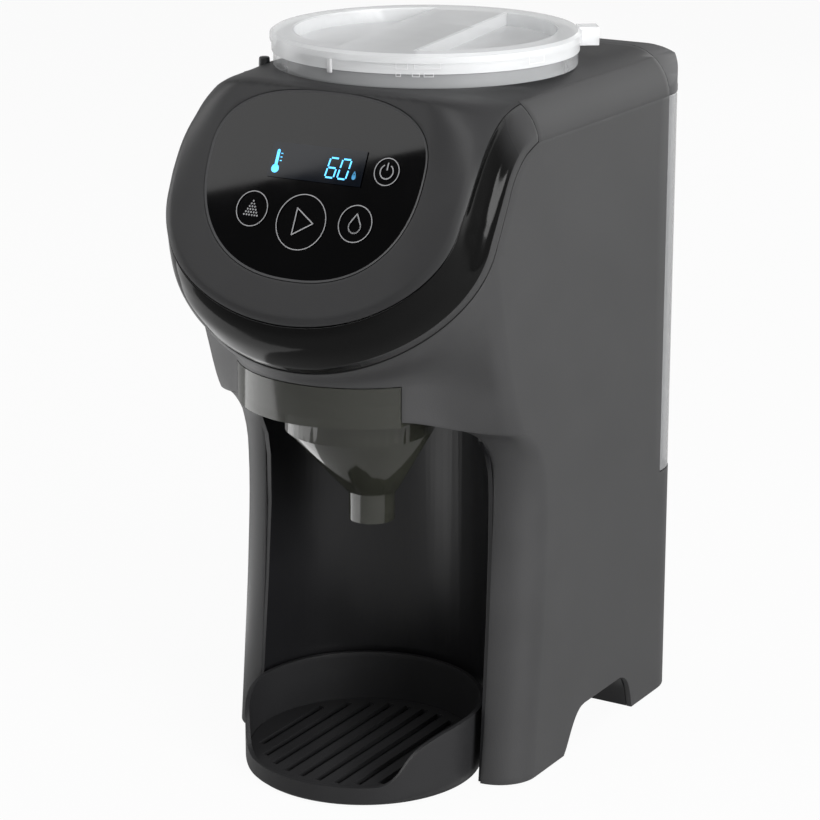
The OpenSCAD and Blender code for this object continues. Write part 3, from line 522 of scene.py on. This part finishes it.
def ringPlace(q, w):
    # w 0 at the mask's edge, 1 at the second seam, with a gap kept at both
    m, b = ringEdge(q), seamTwo(q)
    before, after = max(q - 0.004, 0), min(q + 0.004, 1)
    tangent = (ringEdge(after) - ringEdge(before)) + (seamTwo(after) - seamTwo(before))
    chord = b - m
    out = tangent.cross(chord).normalized()
    if out.dot(Vector((0.4, -1, 0.1))) < 0:
        out.negate()
    gap = ring["gap"] / chord.length
    t = lerp(gap, 1 - gap, w)
    bulge = through([(0.0, 0.0), *zip(ringAcross, through(ringShape, q)), (1.0, 0.0)], t)
    p = m + chord * t + out * bulge
    p.x = min(p.x, ring["a"] - ring["inset"])
    return p


bm = bmesh.new()
ringUs, ringWs = steps(0, sideQ, 44) + steps(sideQ, 1.0, 40)[1:], steps(0, 1, 24)
lipRow = 19
sheetOf(bm, ringUs, ringWs[:lipRow + 1], ringPlace)
lipVerts = set(sheetOf(bm, ringUs, ringWs[lipRow:], ringPlace))
for f in bm.faces:
    f.material_index = 1 if all(v in lipVerts for v in f.verts) else 0
mirrored(bm)
piece("headBand", bm, ["gloss", "lip"], "machine", ("head_ring",), wall=ring["wall"], edge=0.35,
      join=0.03, out=lambda c: Vector((c.x * 0.02, -1, -0.1)))
print("head band made")

# casing: flare under the ring, legs, sides, shoulders and lower rear
casing = {
    "hw": 78.5, "noseR": 56.0, "bayY": -50.0, "legR": 18.0, "cheekX": 60.5, "cheekY": -42.0, "bandZ": 194.7,
    "wall": 2.6, "tankY": 91.7, "backY": 117.5, "rearR": 22.0, "shelfZ": 113.0, "archZ": 168, "ground": 1.0,
}
noseArc, cheekArc = math.radians(46), math.radians(-44)
flankStart, flankEnd = Vector((40.3, -88.9, 0)), Vector((73.4, -54.5, 0))
arcEnd, flankStop, cheekEnd = 45.0, 92.7, 106.5  # lengths along the nose's outline
midU, legU, legSpan = 0.42, 0.68, 0.32  # u 0 in front, legU at the bay's edge, 1 at the side
pathKnots = [(0.0, 0.0), (midU, 47.9), (legU, 75.4), (1.0, cheekEnd)]
lowZ = [(0.0, 181.0), (midU, 178.6), (legU, 172.6), (0.85, 169.4), (1.0, 168.0)]


def cornerPoint(a, y, z=0):
    # on the leg's rounded corner, whose middle is at y
    return Vector((casing["cheekX"] + casing["legR"] * math.cos(a), y + casing["legR"] * math.sin(a), z))


def nosePlan(u):
    # plan of the nose: arc, flank, then the leg's corner
    s = through(pathKnots, u)
    if s <= arcEnd:
        a = noseArc * s / arcEnd
        return Vector((casing["noseR"] * math.sin(a), casing["bayY"] - casing["noseR"] * math.cos(a), 0))
    if s <= flankStop:
        return flankStart.lerp(flankEnd, (s - arcEnd) / (flankStop - arcEnd))
    return cornerPoint(cheekArc * (1 - (s - flankStop) / (cheekEnd - flankStop)), casing["cheekY"])


def flareLow(u):
    p = nosePlan(u)
    p.z = through(lowZ, u)
    return p


def swept(a, b, goA, goB, w):
    # smooth way from a to b that leaves along goA and arrives along goB
    size = (b - a).length
    h00, h10 = (1 + 2 * w) * (1 - w) ** 2, w * (1 - w) ** 2
    h01, h11 = w * w * (3 - 2 * w), w * w * (w - 1)
    return a * h00 + goA.normalized() * size * h10 + b * h01 + goB.normalized() * size * h11


def flareNeck(u):
    # the nose's outline at the height of the funnel band's top
    p = nosePlan(u)
    return Vector((p.x, p.y - 11.5 * ease(0.5, 1.0, u), casing["bandZ"]))


def neckWay(u):
    return Vector((0, 0.36 * ease(0.5, 0.9, u), -1))


def flareTop(u, w):
    # starts a little below the ring, which leaves the seam open
    a, b = seamTwo(sideQ * u), flareNeck(u)
    return swept(a, b, Vector((0, 0.30, -0.95)), neckWay(u), lerp(0.3 / (a - b).length, 1, w))


def flareDown(u, w):
    return swept(flareNeck(u), flareLow(u), neckWay(u), Vector((0, 0.62 * ease(0.55, 0.8, u), -1)), w)


legFront = [  # (z, y of the leg's front)
    (0.0, -48.0), (40.0, -44.0), (80.0, -40.0), (118.0, -38.0), (138.0, -39.0), (153.0, -43.5),
    (160.0, -49.0), (164.5, -54.0), (168.0, -59.8),
]
legEdge = [  # (z, y of the arch's edge beside the bay)
    (0.0, -48.7), (35.0, -44.6), (64.0, -42.3), (87.0, -40.9), (110.0, -39.4), (132.0, -38.5), (139.0, -38.5),
    (145.0, -39.0), (150.0, -39.7), (154.0, -40.1), (157.5, -41.1), (160.5, -43.0), (163.0, -45.7), (165.0, -49.4),
    (166.5, -53.8), (168.0, -60.0),
]
legZs = [
    casing["archZ"], 166.5, 165, 163, 160.5, 157.5, 154, 150, 145, 139, 132, 123, 113, 104, 95, 86, 77, 68, 59, 50,
    42, 34, 28, 24,
]
legUs = steps(legU, 1.0, 16)
legBlend = {"from": 146, "rows": 7}  # where the leg's plan starts to turn into the flare's, and rows that tilt
footTop = legZs[-1]


def legCorner(c, z):
    # c 0 at the bay's edge, 1 at the side
    middle = lerp(through(legFront, z), through(legEdge, z), (1 - c) ** 1.5) + casing["legR"]
    return cornerPoint(math.radians(-90) * (1 - c), middle, z)


def legPoint(c, row):
    # row counts down legZs
    z = legZs[row]
    top, arc = flareLow(lerp(legU, 1.0, c)), legCorner(c, z)
    blend = ease(legBlend["from"], casing["archZ"], z)
    shift = top.y - cornerPoint(math.radians(-90) * (1 - c), casing["cheekY"]).y
    tilt = (top.z - casing["archZ"]) * max(0, 1 - row / legBlend["rows"]) ** 2
    return Vector((lerp(arc.x, top.x, blend), arc.y + shift * blend, z + tilt))


def legPlace(u, row):
    return legPoint((u - legU) / legSpan, row)


notchKnots = [  # (y, z) of the notch in the side's foot
    (-2.0, 1.0), (0.5, 4.0), (4.0, 9.5), (7.5, 14.5), (11.0, 18.0), (15.0, 20.1), (18.0, 20.5), (53.0, 20.5),
    (57.0, 19.6), (61.0, 17.0), (63.5, 13.5), (65.2, 9.0), (66.4, 4.5), (67.0, 1.0),
]


sideYs = [
    -30, -25, -19, -13, -8, -5, -3, -2, -1, 0.5, 2, 4, 5.7, 7.5, 9.2, 11, 13, 15, 18, 24, 31, 38, 45, 50, 53, 55,
    57, 59, 61, 62.3, 63.5, 64.4, 65.2, 65.8, 66.4, 67, 68, 71, 76, 84, casing["tankY"],
]
sideCs = [(y - sideYs[0]) / (casing["tankY"] - sideYs[0]) for y in sideYs]
flareRows = steps(0, 1, 14)
# points down the side's front border
sideRows = [seamTwo(q) for q in steps(1.0, sideQ, 16)] + [flareTop(1.0, w) for w in flareRows]
sideRows += [flareDown(1.0, w) for w in flareRows[1:]] + [legPoint(1.0, i) for i in range(1, len(legZs))]


def sidePlace(c, row):
    return Vector((casing["hw"], lerp(sideRows[row].y, casing["tankY"], c), sideRows[row].z))


def footStrip(c, w):
    y = lerp(sideRows[-1].y, casing["tankY"], c)
    lowY = lerp(through(legFront, casing["ground"]) + casing["legR"], casing["tankY"], c)
    footZ = through(notchKnots, lerp(sideYs[0], casing["tankY"], c))
    return Vector((casing["hw"], lerp(y, lowY, w), lerp(footTop, footZ, w)))


def legFoot(u, w):
    c = (u - legU) / legSpan
    return legPoint(c, len(legZs) - 1).lerp(legCorner(c, casing["ground"]), w)


shoulder = {"r": 22.0, "x": 56.5, "z": 295.0, "turn": math.radians(52.15), "side": -33.7, "seam": -36.7}


def rollPlace(t, w):
    # t along the shoulder, w 0 at the side and 1 at the seam
    a = w * shoulder["turn"]
    y = lerp(lerp(shoulder["side"], shoulder["seam"], w), casing["tankY"], t)
    return Vector((shoulder["x"] + shoulder["r"] * math.cos(a), y, shoulder["z"] + shoulder["r"] * math.sin(a)))


def rearPlan(t):
    # plan of the lower rear: side, corner, then the back to the middle
    side = casing["backY"] - casing["rearR"] - casing["tankY"]
    turn = casing["rearR"] * math.pi / 2
    total = side + turn + casing["hw"] - casing["rearR"]
    s = t * total
    if s <= side:
        return Vector((casing["hw"], casing["tankY"] + s, 0))
    if s <= side + turn:
        a = (s - side) / casing["rearR"]
        c = Vector((casing["hw"] - casing["rearR"], casing["backY"] - casing["rearR"], 0))
        return c + Vector((math.cos(a), math.sin(a), 0)) * casing["rearR"]
    return Vector((casing["hw"] - casing["rearR"] - (s - side - turn), casing["backY"], 0))


def rearPlace(t, z):
    p = rearPlan(t)
    p.z = z
    return p


bm = bmesh.new()
frontUs, flankUs, footRows = steps(0, midU, 18), steps(midU, legU, 12), steps(0, 1, 8)
sheetOf(bm, frontUs + flankUs[1:] + legUs[1:], flareRows, flareTop)
sheetOf(bm, flankUs + legUs[1:], flareRows, flareDown)
sheetOf(bm, legUs, range(len(legZs)), legPlace)
sheetOf(bm, legUs, footRows, legFoot)
sheetOf(bm, sideCs, range(len(sideRows)), sidePlace)
sheetOf(bm, sideCs, footRows, footStrip)
sheetOf(bm, steps(0, 1, 40), steps(0, 1, 10), rollPlace)
rearZs = [z for z in legZs if z <= casing["shelfZ"]] + [lerp(footTop, casing["ground"], w) for w in footRows[1:]]
sheetOf(bm, steps(0, 1, 30), rearZs, rearPlace)
weld(bm, 0.08)
mirrored(bm)
piece("casingShell", bm, ["charcoal"], "machine", ("main_housing",), wall=casing["wall"], edge=0.5,
      join=0.08, out=lambda c: Vector((c.x, c.y, 0)))
print("casing made")


# CAD pieces with their edges rounded: a merged copy of the node, bevelled
softEdge = {"angle": 32, "segments": 3, "merge": 0.00002, "flat": math.radians(0.6)}
runner = {"below": 0.1785, "front": -0.066}  # the runners' ends, in metres, stay behind the funnel's band


def softened(node, finishName, body, edge):
    bm = bmesh.new()
    bm.from_mesh(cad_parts[node].data)
    if node == "funnel_carrier":
        for v in bm.verts:
            if v.co.z < runner["below"]:
                v.co.y = max(v.co.y, runner["front"])
    weld(bm, softEdge["merge"])
    bmesh.ops.dissolve_limit(bm, angle_limit=softEdge["flat"], verts=bm.verts[:], edges=bm.edges[:])
    mesh = meshOf(node + "Soft", bm)
    obj = linked(node + "Soft", mesh)
    mesh.materials.clear()
    mesh.materials.append(finish[finishName])
    mesh.shade_smooth()
    mesh.set_sharp_from_angle(angle=math.radians(softEdge["angle"]))
    bevelled(obj, edge, softEdge["segments"], softEdge["angle"]).harden_normals = True
    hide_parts(node)
    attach(obj, body)


softPieces = [  # node, finish, body, slot, edge radius
    ("drip_grid", "tray", "grid", "charcoal", 0.4),
    ("bay_liner", "dark", "machine", "dark_matte", 0.5),
    ("funnel_carrier", "dark", "machine", "dark_matte", 0.3),
    ("funnel", "smoke", "funnel_unit", "smoke", 0.45),
    ("tank_cap", "cap", "cap", "cover_grey", 0.7),
    ("water_tank", "tank", "tank", "clear_tank", 0.5),
    ("powder_container", "clear", "container", "milky", 0.3),
    ("powder_lid", "milky", "lid", "milky", 0.6),
    ("rubber_feet", "rubber", "machine", "black_rubber", 0.4),
    ("base_plate", "dark", "machine", "dark_matte", 0.4),
    ("rear_cover", "charcoal", "machine", "charcoal", 0.4),
    ("cord_gland", "rubber", "machine", "black_rubber", 0.3),
    ("stirrer", "mixer", "mixer", "white_plastic", 0.4),
]
for node, finishName, body, slot, edge in softPieces:
    softened(node, finishName, body, edge)
print("bay, tank and powder pieces made")

# drip tray: a cup whose rim dips to a low lip in front
cup = {
    "r": 55.0, "wall": 2.0, "y": -50.0, "low": 1.0, "floor": 2.0, "floorR": 53.6, "round": 1.3, "roundEnd": 0.14,
    "ledge": (50.2, 53.4), "ledgeZ": 2.5, "tabWide": 14, "tabHigh": 10, "tabZ": 22, "tabIn": 1.5,
}
rimKnots = [  # degrees away from the front, height
    (0, 9.5), (36, 9.6), (43, 11.2), (48, 15.0), (52, 20.0), (57, 24.6), (64, 28.0), (74, 30.5), (90, 31.8),
    (180, 32.0),
]


def cupPoint(r, a, z):
    return Vector((r * math.sin(a), cup["y"] - r * math.cos(a), z))


def cupWall(a, w):
    top = through(rimKnots, math.degrees(abs(a)))
    r = cup["r"] - cup["round"] * (1 - ease(0, cup["roundEnd"], w))
    return cupPoint(r, a, lerp(cup["low"], top, w))


around = steps(-math.pi, math.pi, 180)
bm = bmesh.new()
sheetOf(bm, around, [0, 0.03, 0.07, 0.11, 0.15] + steps(0.15, 1, 10)[1:], cupWall)
piece("trayCup", bm, ["tray"], "tray", ("drip_tray",), wall=cup["wall"], edge=0.7, edgeSegments=3,
      out=lambda c: Vector((c.x, c.y - cup["y"], 0)))

# its floor, the ledge under the grid and the tab at the rear
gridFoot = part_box("drip_grid")[0].z / mm
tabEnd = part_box("drip_tray")[1].y / mm
ledgeIn, ledgeOut = cup["ledge"]
ledge = [(ledgeIn, cup["ledgeZ"]), (ledgeOut, cup["ledgeZ"]), (ledgeOut, gridFoot), (ledgeIn, gridFoot)]
bm = bmesh.new()
sheetOf(bm, around, range(5), lambda a, i: cupPoint(ledge[i % 4][0], a, ledge[i % 4][1]))
weld(bm, 0.02)
plate = bmesh.ops.create_cone(bm, cap_ends=True, segments=120, radius1=cup["floorR"], radius2=cup["floorR"],
                              depth=cup["floor"])["verts"]
moved(bm, (0, cup["y"], cup["low"] + cup["floor"] / 2), plate)
tab = bmesh.ops.create_cube(bm, size=1)["verts"]
tabStart = cup["y"] + cup["r"] - cup["tabIn"]
bmesh.ops.scale(bm, vec=(cup["tabWide"], tabEnd - tabStart, cup["tabHigh"]), verts=tab)
moved(bm, (0, (tabStart + tabEnd) / 2, cup["tabZ"]), tab)
piece("trayFloor", bm, ["tray"], "tray", join=0, edge=0.4)
print("tray made")


# touch glass with a thin chamfer, and what is printed and lit on it
def panelMatrix(off):
    return Matrix.Translation(onPanel(0, 0, off)) @ Matrix.Rotation(math.pi / 2 - panel["tilt"], 4, "X")


glass = {"chamfer": 1.0, "proud": 0.28, "thick": 2.0, "off": 0.05}
bm = bmesh.new()
bmesh.ops.create_circle(bm, cap_ends=True, radius=1, segments=144)
for v in bm.verts:
    angle = math.atan2(abs(v.co.x), -v.co.y)
    x, y = glassEdge(angle, 0.0)
    v.co = Vector((math.copysign(x, v.co.x), y, 0))
front = bm.faces[:]
back = bmesh.ops.extrude_face_region(bm, geom=front)["geom"]
moved(bm, (0, 0, -glass["thick"]), [g for g in back if isinstance(g, bmesh.types.BMVert)])
bm.faces.ensure_lookup_table()
top = max(bm.faces, key=lambda f: f.calc_center_median().z)
rim = bmesh.ops.inset_region(bm, faces=[top], thickness=glass["chamfer"], depth=glass["proud"])["faces"]
for f in rim:
    f.material_index = 1
bmesh.ops.transform(bm, matrix=panelMatrix(glass["off"]), verts=bm.verts[:])
piece("touchGlass", bm, ["glass", "rim"], "machine", ("control_glass",), smoothAngle=10)


def flatRing(bm, centre, radius, width, segments=72, opening=None):
    inner = bmesh.ops.create_circle(bm, radius=radius - width / 2, segments=segments)["verts"]
    outer = bmesh.ops.create_circle(bm, radius=radius + width / 2, segments=segments)["verts"]
    edges = [e for e in bm.edges if all(v in inner for v in e.verts) or all(v in outer for v in e.verts)]
    made = bmesh.ops.bridge_loops(bm, edges=edges)["faces"]
    if opening:
        middles = [(f, f.calc_center_median()) for f in made]
        gone = [f for f, c in middles if abs(math.atan2(c.x, c.y)) < math.radians(opening)]
        bmesh.ops.delete(bm, geom=gone, context="FACES")
    moved(bm, (*centre, 0), [v for v in inner + outer if v.is_valid])


def flatBar(bm, a, b, width):
    a, b = Vector((*a, 0)), Vector((*b, 0))
    made = bmesh.ops.create_grid(bm, x_segments=1, y_segments=1, size=0.5)["verts"]
    turn = Matrix.Rotation(math.atan2((b - a).y, (b - a).x), 4, "Z")
    size = Matrix.Diagonal((*((b - a).length, width, 1), 1))
    bmesh.ops.transform(bm, matrix=Matrix.Translation((a + b) / 2) @ turn @ size, verts=made)


def flatDot(bm, centre, radius, segments=16):
    made = bmesh.ops.create_circle(bm, cap_ends=True, radius=radius, segments=segments)["verts"]
    moved(bm, (*centre, 0), made)


def flatOutline(bm, points, width):
    # closed line of even width round the points
    for i in range(len(points)):
        a, b = Vector(points[i]), Vector(points[(i + 1) % len(points)])
        flatBar(bm, a, b, width)
        flatDot(bm, a, width / 2, 12)


def printed(name, bm, finishName, off):
    bmesh.ops.transform(bm, matrix=panelMatrix(off), verts=bm.verts[:])
    piece(name, bm, [finishName], "machine", join=0, out=lambda c: Vector((0, -1, 0.4)))


# heights of the prints off the panel, and each key's centre and radius
printOff = {"window": 0.345, "keys": 0.36, "lit": 0.40}
keys = {
    "start": (0.0, 0.0, 12.1), "powder": (-25.7, 3.0, 7.7), "amount": (26.4, 2.4, 8.0), "power": (35.6, 26.1, 5.9),
}
line = {"ring": 0.42, "sign": 0.55, "bar": 0.6}
dots = {"rows": 6, "across": 1.35, "down": 1.25, "top": 3.4, "r": 0.42}
drop = {"r": 2.9, "down": 1.2, "tip": 4.4}
bm = bmesh.new()
for x, y, r in keys.values():
    flatRing(bm, (x, y), r, line["ring"])
flatOutline(bm, [(-3.2, 5.9), (6.0, 0.0), (-3.2, -5.9)], line["sign"])
x, y, r = keys["powder"]
for row in range(dots["rows"]):
    for i in range(row + 1):
        flatDot(bm, (x + (i - row / 2) * dots["across"], y + dots["top"] - row * dots["down"]), dots["r"])
x, y, r = keys["amount"]
turns = [math.radians(a) for a in range(-118, 119, 14)]
bowl = [(x + drop["r"] * math.sin(a), y - drop["down"] - drop["r"] * math.cos(a)) for a in turns]
flatOutline(bm, bowl + [(x, y + drop["tip"])], line["sign"])
x, y, r = keys["power"]
flatRing(bm, (x, y), 3.1, line["sign"], opening=32)
flatBar(bm, (x, y + 0.6), (x, y + 4.0), line["bar"])
printed("keyPrint", bm, "print", printOff["keys"])

# the lit number and thermometer
bm = bmesh.new()
segmentsOf = {"6": "afgedc", "0": "abcdef"}
digit = {"w": 4.3, "h": 8.6, "line": 0.75, "lean": 0.12, "trim": 0.42, "at": ((6.3, 20.6), (12.4, 20.6))}
for figure, (x0, y0) in zip("60", digit["at"]):
    w, h = digit["w"], digit["h"]
    ends = {"a": ((0, h), (w, h)), "b": ((w, h), (w, h / 2)), "c": ((w, h / 2), (w, 0)), "d": ((0, 0), (w, 0)),
            "e": ((0, 0), (0, h / 2)), "f": ((0, h / 2), (0, h)), "g": ((0, h / 2), (w, h / 2))}
    for letter in segmentsOf[figure]:
        (ax, ay), (bx, by) = ends[letter]
        a = Vector((x0 + ax + ay * digit["lean"], y0 + ay))
        b = Vector((x0 + bx + by * digit["lean"], y0 + by))
        trim = (b - a).normalized() * digit["trim"]
        flatBar(bm, a + trim, b - trim, digit["line"])
warm = {"x": -19, "bulb": 21.6, "low": 22.5, "top": 29.4, "wide": 1.5, "ticks": (25.2, 26.8, 28.4)}
flatBar(bm, (warm["x"], warm["low"]), (warm["x"], warm["top"]), warm["wide"])
flatDot(bm, (warm["x"], warm["bulb"]), 1.9, 24)
flatDot(bm, (warm["x"], warm["top"]), warm["wide"] / 2, 16)
for y in warm["ticks"]:
    flatBar(bm, (warm["x"] + 1.4, y), (warm["x"] + 2.4, y), 0.4)
printed("litSigns", bm, "lit", printOff["lit"])

# the small drop beside the number, and the dark window behind both
bm = bmesh.new()
flatDot(bm, (20.4, 21.9), 1.0, 20)
flatOutline(bm, [(19.6, 22.4), (20.4, 24.4), (21.2, 22.4)], 0.4)
printed("smallSign", bm, "dimLit", printOff["lit"])
bm = bmesh.new()
flatBar(bm, (-22.5, 25.6), (24.5, 25.9), 15.5)
printed("displayWindow", bm, "display", printOff["window"])
print("glass and signs made")

# small catch beside the lid
latch = {"x": -62.7, "y": -31.6, "r": 2.8, "taper": 0.86, "low": 306, "top": 319.0}
bm = bmesh.new()
bmesh.ops.create_cone(bm, cap_ends=True, segments=32, radius1=latch["r"], radius2=latch["r"] * latch["taper"],
                      depth=latch["top"] - latch["low"])
moved(bm, (latch["x"], latch["y"], (latch["top"] + latch["low"]) / 2))
piece("lidCatch", bm, ["latch"], "machine", ("lid_latch",), edge=0.8, edgeSegments=3)

# rib and small moulded marks round the lid's rim: lengths from the side that faces the camera, and heights
lidRim = {"r": 68.9, "line": 0.3, "face": math.radians(31), "longest": 1.5}
markBoxes = [
    (-13, -8, 325.6, 328), (-5, 6, 325.8, 328), (-13, -11, 322.4, 323.8), (-6, -3, 322.4, 323.8),
    (-1, 3, 322.4, 323.8), (48, 57, 325, 328),
]
rib = {"at": -44.6, "z": 325.2, "in": 0.3, "size": (2.4, 1.3, 7.0)}


def onRim(t, z, r):
    a = lidRim["face"] + t / lidRim["r"]
    return Vector((r * math.sin(a), cover["lidY"] - r * math.cos(a), z))


bm = bmesh.new()
for t0, t1, z0, z1 in markBoxes:
    flatOutline(bm, [(t0, z0), (t1, z0), (t1, z1), (t0, z1)], lidRim["line"])
bmesh.ops.subdivide_edges(bm, edges=[e for e in bm.edges if e.calc_length() > lidRim["longest"]], cuts=4)
for v in bm.verts:
    v.co = onRim(v.co.x, v.co.y, lidRim["r"])
piece("lidMarks", bm, ["mark"], "lid", join=0, out=lambda c: Vector((c.x, c.y - cover["lidY"], 0)))
bm = bmesh.new()
bmesh.ops.create_cube(bm, size=1)
bmesh.ops.scale(bm, vec=rib["size"], verts=bm.verts[:])
ribTurn = Matrix.Rotation(lidRim["face"] + rib["at"] / lidRim["r"], 3, "Z")
bmesh.ops.rotate(bm, matrix=ribTurn, verts=bm.verts[:])
moved(bm, onRim(rib["at"], rib["z"], lidRim["r"] - rib["in"]))
piece("lidRib", bm, ["mark"], "lid", edge=0.4)

# coil of the tank valve's spring
spring = {"r": 4.1, "wire": 0.45, "turns": 5, "perTurn": 24}
low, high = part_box("valve_spring")
bm = bmesh.new()
wireRing = bmesh.ops.create_circle(bm, radius=spring["wire"], segments=10)["verts"]
bmesh.ops.transform(bm, matrix=Matrix.Rotation(math.pi / 2, 4, "X"), verts=wireRing)
middle = (low + high) / 2 / mm
rise = (high.z - low.z) / mm - 2 * spring["wire"]
moved(bm, (middle.x + spring["r"], middle.y, low.z / mm + spring["wire"]), wireRing)
count = spring["turns"] * spring["perTurn"]
bmesh.ops.spin(bm, geom=bm.edges[:], cent=(middle.x, middle.y, 0), axis=(0, 0, 1), dvec=(0, 0, rise / count),
               angle=spring["turns"] * 2 * math.pi, steps=count, use_duplicate=False)
bmesh.ops.holes_fill(bm, edges=[e for e in bm.edges if e.is_boundary], sides=0)
coil = piece("springCoil", bm, ["steel"], "tank", ("valve_spring",), join=0)
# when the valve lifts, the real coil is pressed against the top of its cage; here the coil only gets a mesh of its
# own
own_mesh(coil)
print("small pieces made")

# studio: pale floor, soft ambient light and soft boxes
white = (1, 1, 1, 1)
floorLook = {
    "size": 6, "paint": (0.62, 0.62, 0.62, 1), "rough": 0.9, "specular": 0.1, "seen": 0.95, "mirrored": 0.25,
}
worldLook = {"sky": 0.15, "seen": 1.0, "mirrored": 0.30}


def withWhite(nodes, links, look, plain, bright, output):
    # plain for lighting; bright for direct sight, through clear plastic and, in part, in reflections
    rays = nodes.new("ShaderNodeLightPath").outputs
    kinds = (("Is Camera Ray", "seen"), ("Is Transmission Ray", "seen"), ("Is Glossy Ray", "mirrored"))
    direct, clear, glossy = [mathOf(nodes, links, "MULTIPLY", rays[ray], look[share]) for ray, share in kinds]
    most = mathOf(nodes, links, "MAXIMUM", mathOf(nodes, links, "MAXIMUM", direct, clear), glossy)
    mix = nodes.new("ShaderNodeMixShader")
    for slot, value in zip(mix.inputs, (most, plain, bright)):
        links.new(value, slot)
    links.new(mix.outputs["Shader"], output.inputs["Surface"])


bm = bmesh.new()
bmesh.ops.create_grid(bm, x_segments=2, y_segments=2, size=floorLook["size"])
floor = linked("floor", meshOf("floor", bm))
pale = bpy.data.materials.new("pale floor")
nodes, links = madeOf(pale)
paint = nodes["Principled BSDF"]
paint.inputs["Base Color"].default_value = floorLook["paint"]
paint.inputs["Roughness"].default_value = floorLook["rough"]
paint.inputs["Specular IOR Level"].default_value = floorLook["specular"]
glow = nodes.new("ShaderNodeEmission")
withWhite(nodes, links, floorLook, paint.outputs["BSDF"], glow.outputs["Emission"], nodes["Material Output"])
floor.data.materials.append(pale)

world = bpy.data.worlds.new("studio")
scene.world = world
nodes, links = madeOf(world)
sky = nodes["Background"]
sky.inputs["Color"].default_value = white
sky.inputs["Strength"].default_value = worldLook["sky"]
bright = nodes.new("ShaderNodeBackground")
bright.inputs["Color"].default_value = white
withWhite(nodes, links, worldLook, sky.outputs["Background"], bright.outputs["Background"], nodes["World Output"])


def softBox(name, place, aim, size, power):
    lamp = bpy.data.lights.new(name, "AREA")
    lamp.shape = "RECTANGLE"
    lamp.size, lamp.size_y = size[0] * mm, size[1] * mm
    lamp.energy = power
    obj = linked(name, lamp)
    aimed(obj, place, aim)
    return obj


softBox("rightBox", (1750, -580, 700), (0, 0, 160), (1100, 1100), 38)
softBox("leftBox", (-1500, -100, 600), (0, 0, 160), (700, 1200), 8)
softBox("rearBox", (250, 1700, 500), (0, 0, 160), (1200, 900), 8)
softBox("topBox", (480, -420, 1350), (0, -20, 300), (620, 620), 6)
softBox("lowLeftBox", (-560, -200, 3), (-560, -200, 300), (780, 520), 2.6).visible_camera = False

# the panel whose lower edge shows as a slanting line in the flat glass, from left to right
slant = {
    "left": (-890, -1087, 1019), "right": (-693, -1097, 1112), "aim": (0, -88, 285),
    "width": 440, "height": 210, "power": 2.9,
}
left, right = Vector(slant["left"]), Vector(slant["right"])
toGlass = (Vector(slant["aim"]) - (left + right) / 2).normalized()
alongEdge = (right - left) - toGlass * (right - left).dot(toGlass)
alongEdge.normalize()
upEdge = toGlass.cross(alongEdge)
if upEdge.z < 0:
    upEdge.negate()
box = softBox("slantBox", (0, 0, 0), (0, 0, -1), (slant["width"], slant["height"]), slant["power"])
axes = Matrix((alongEdge, upEdge, -toGlass)).transposed().to_4x4()
if axes.determinant() < 0:
    axes = Matrix((-alongEdge, upEdge, -toGlass)).transposed().to_4x4()
box.matrix_world = Matrix.Translation(((left + right) / 2 + upEdge * slant["height"] / 2) * mm) @ axes
print("studio made")
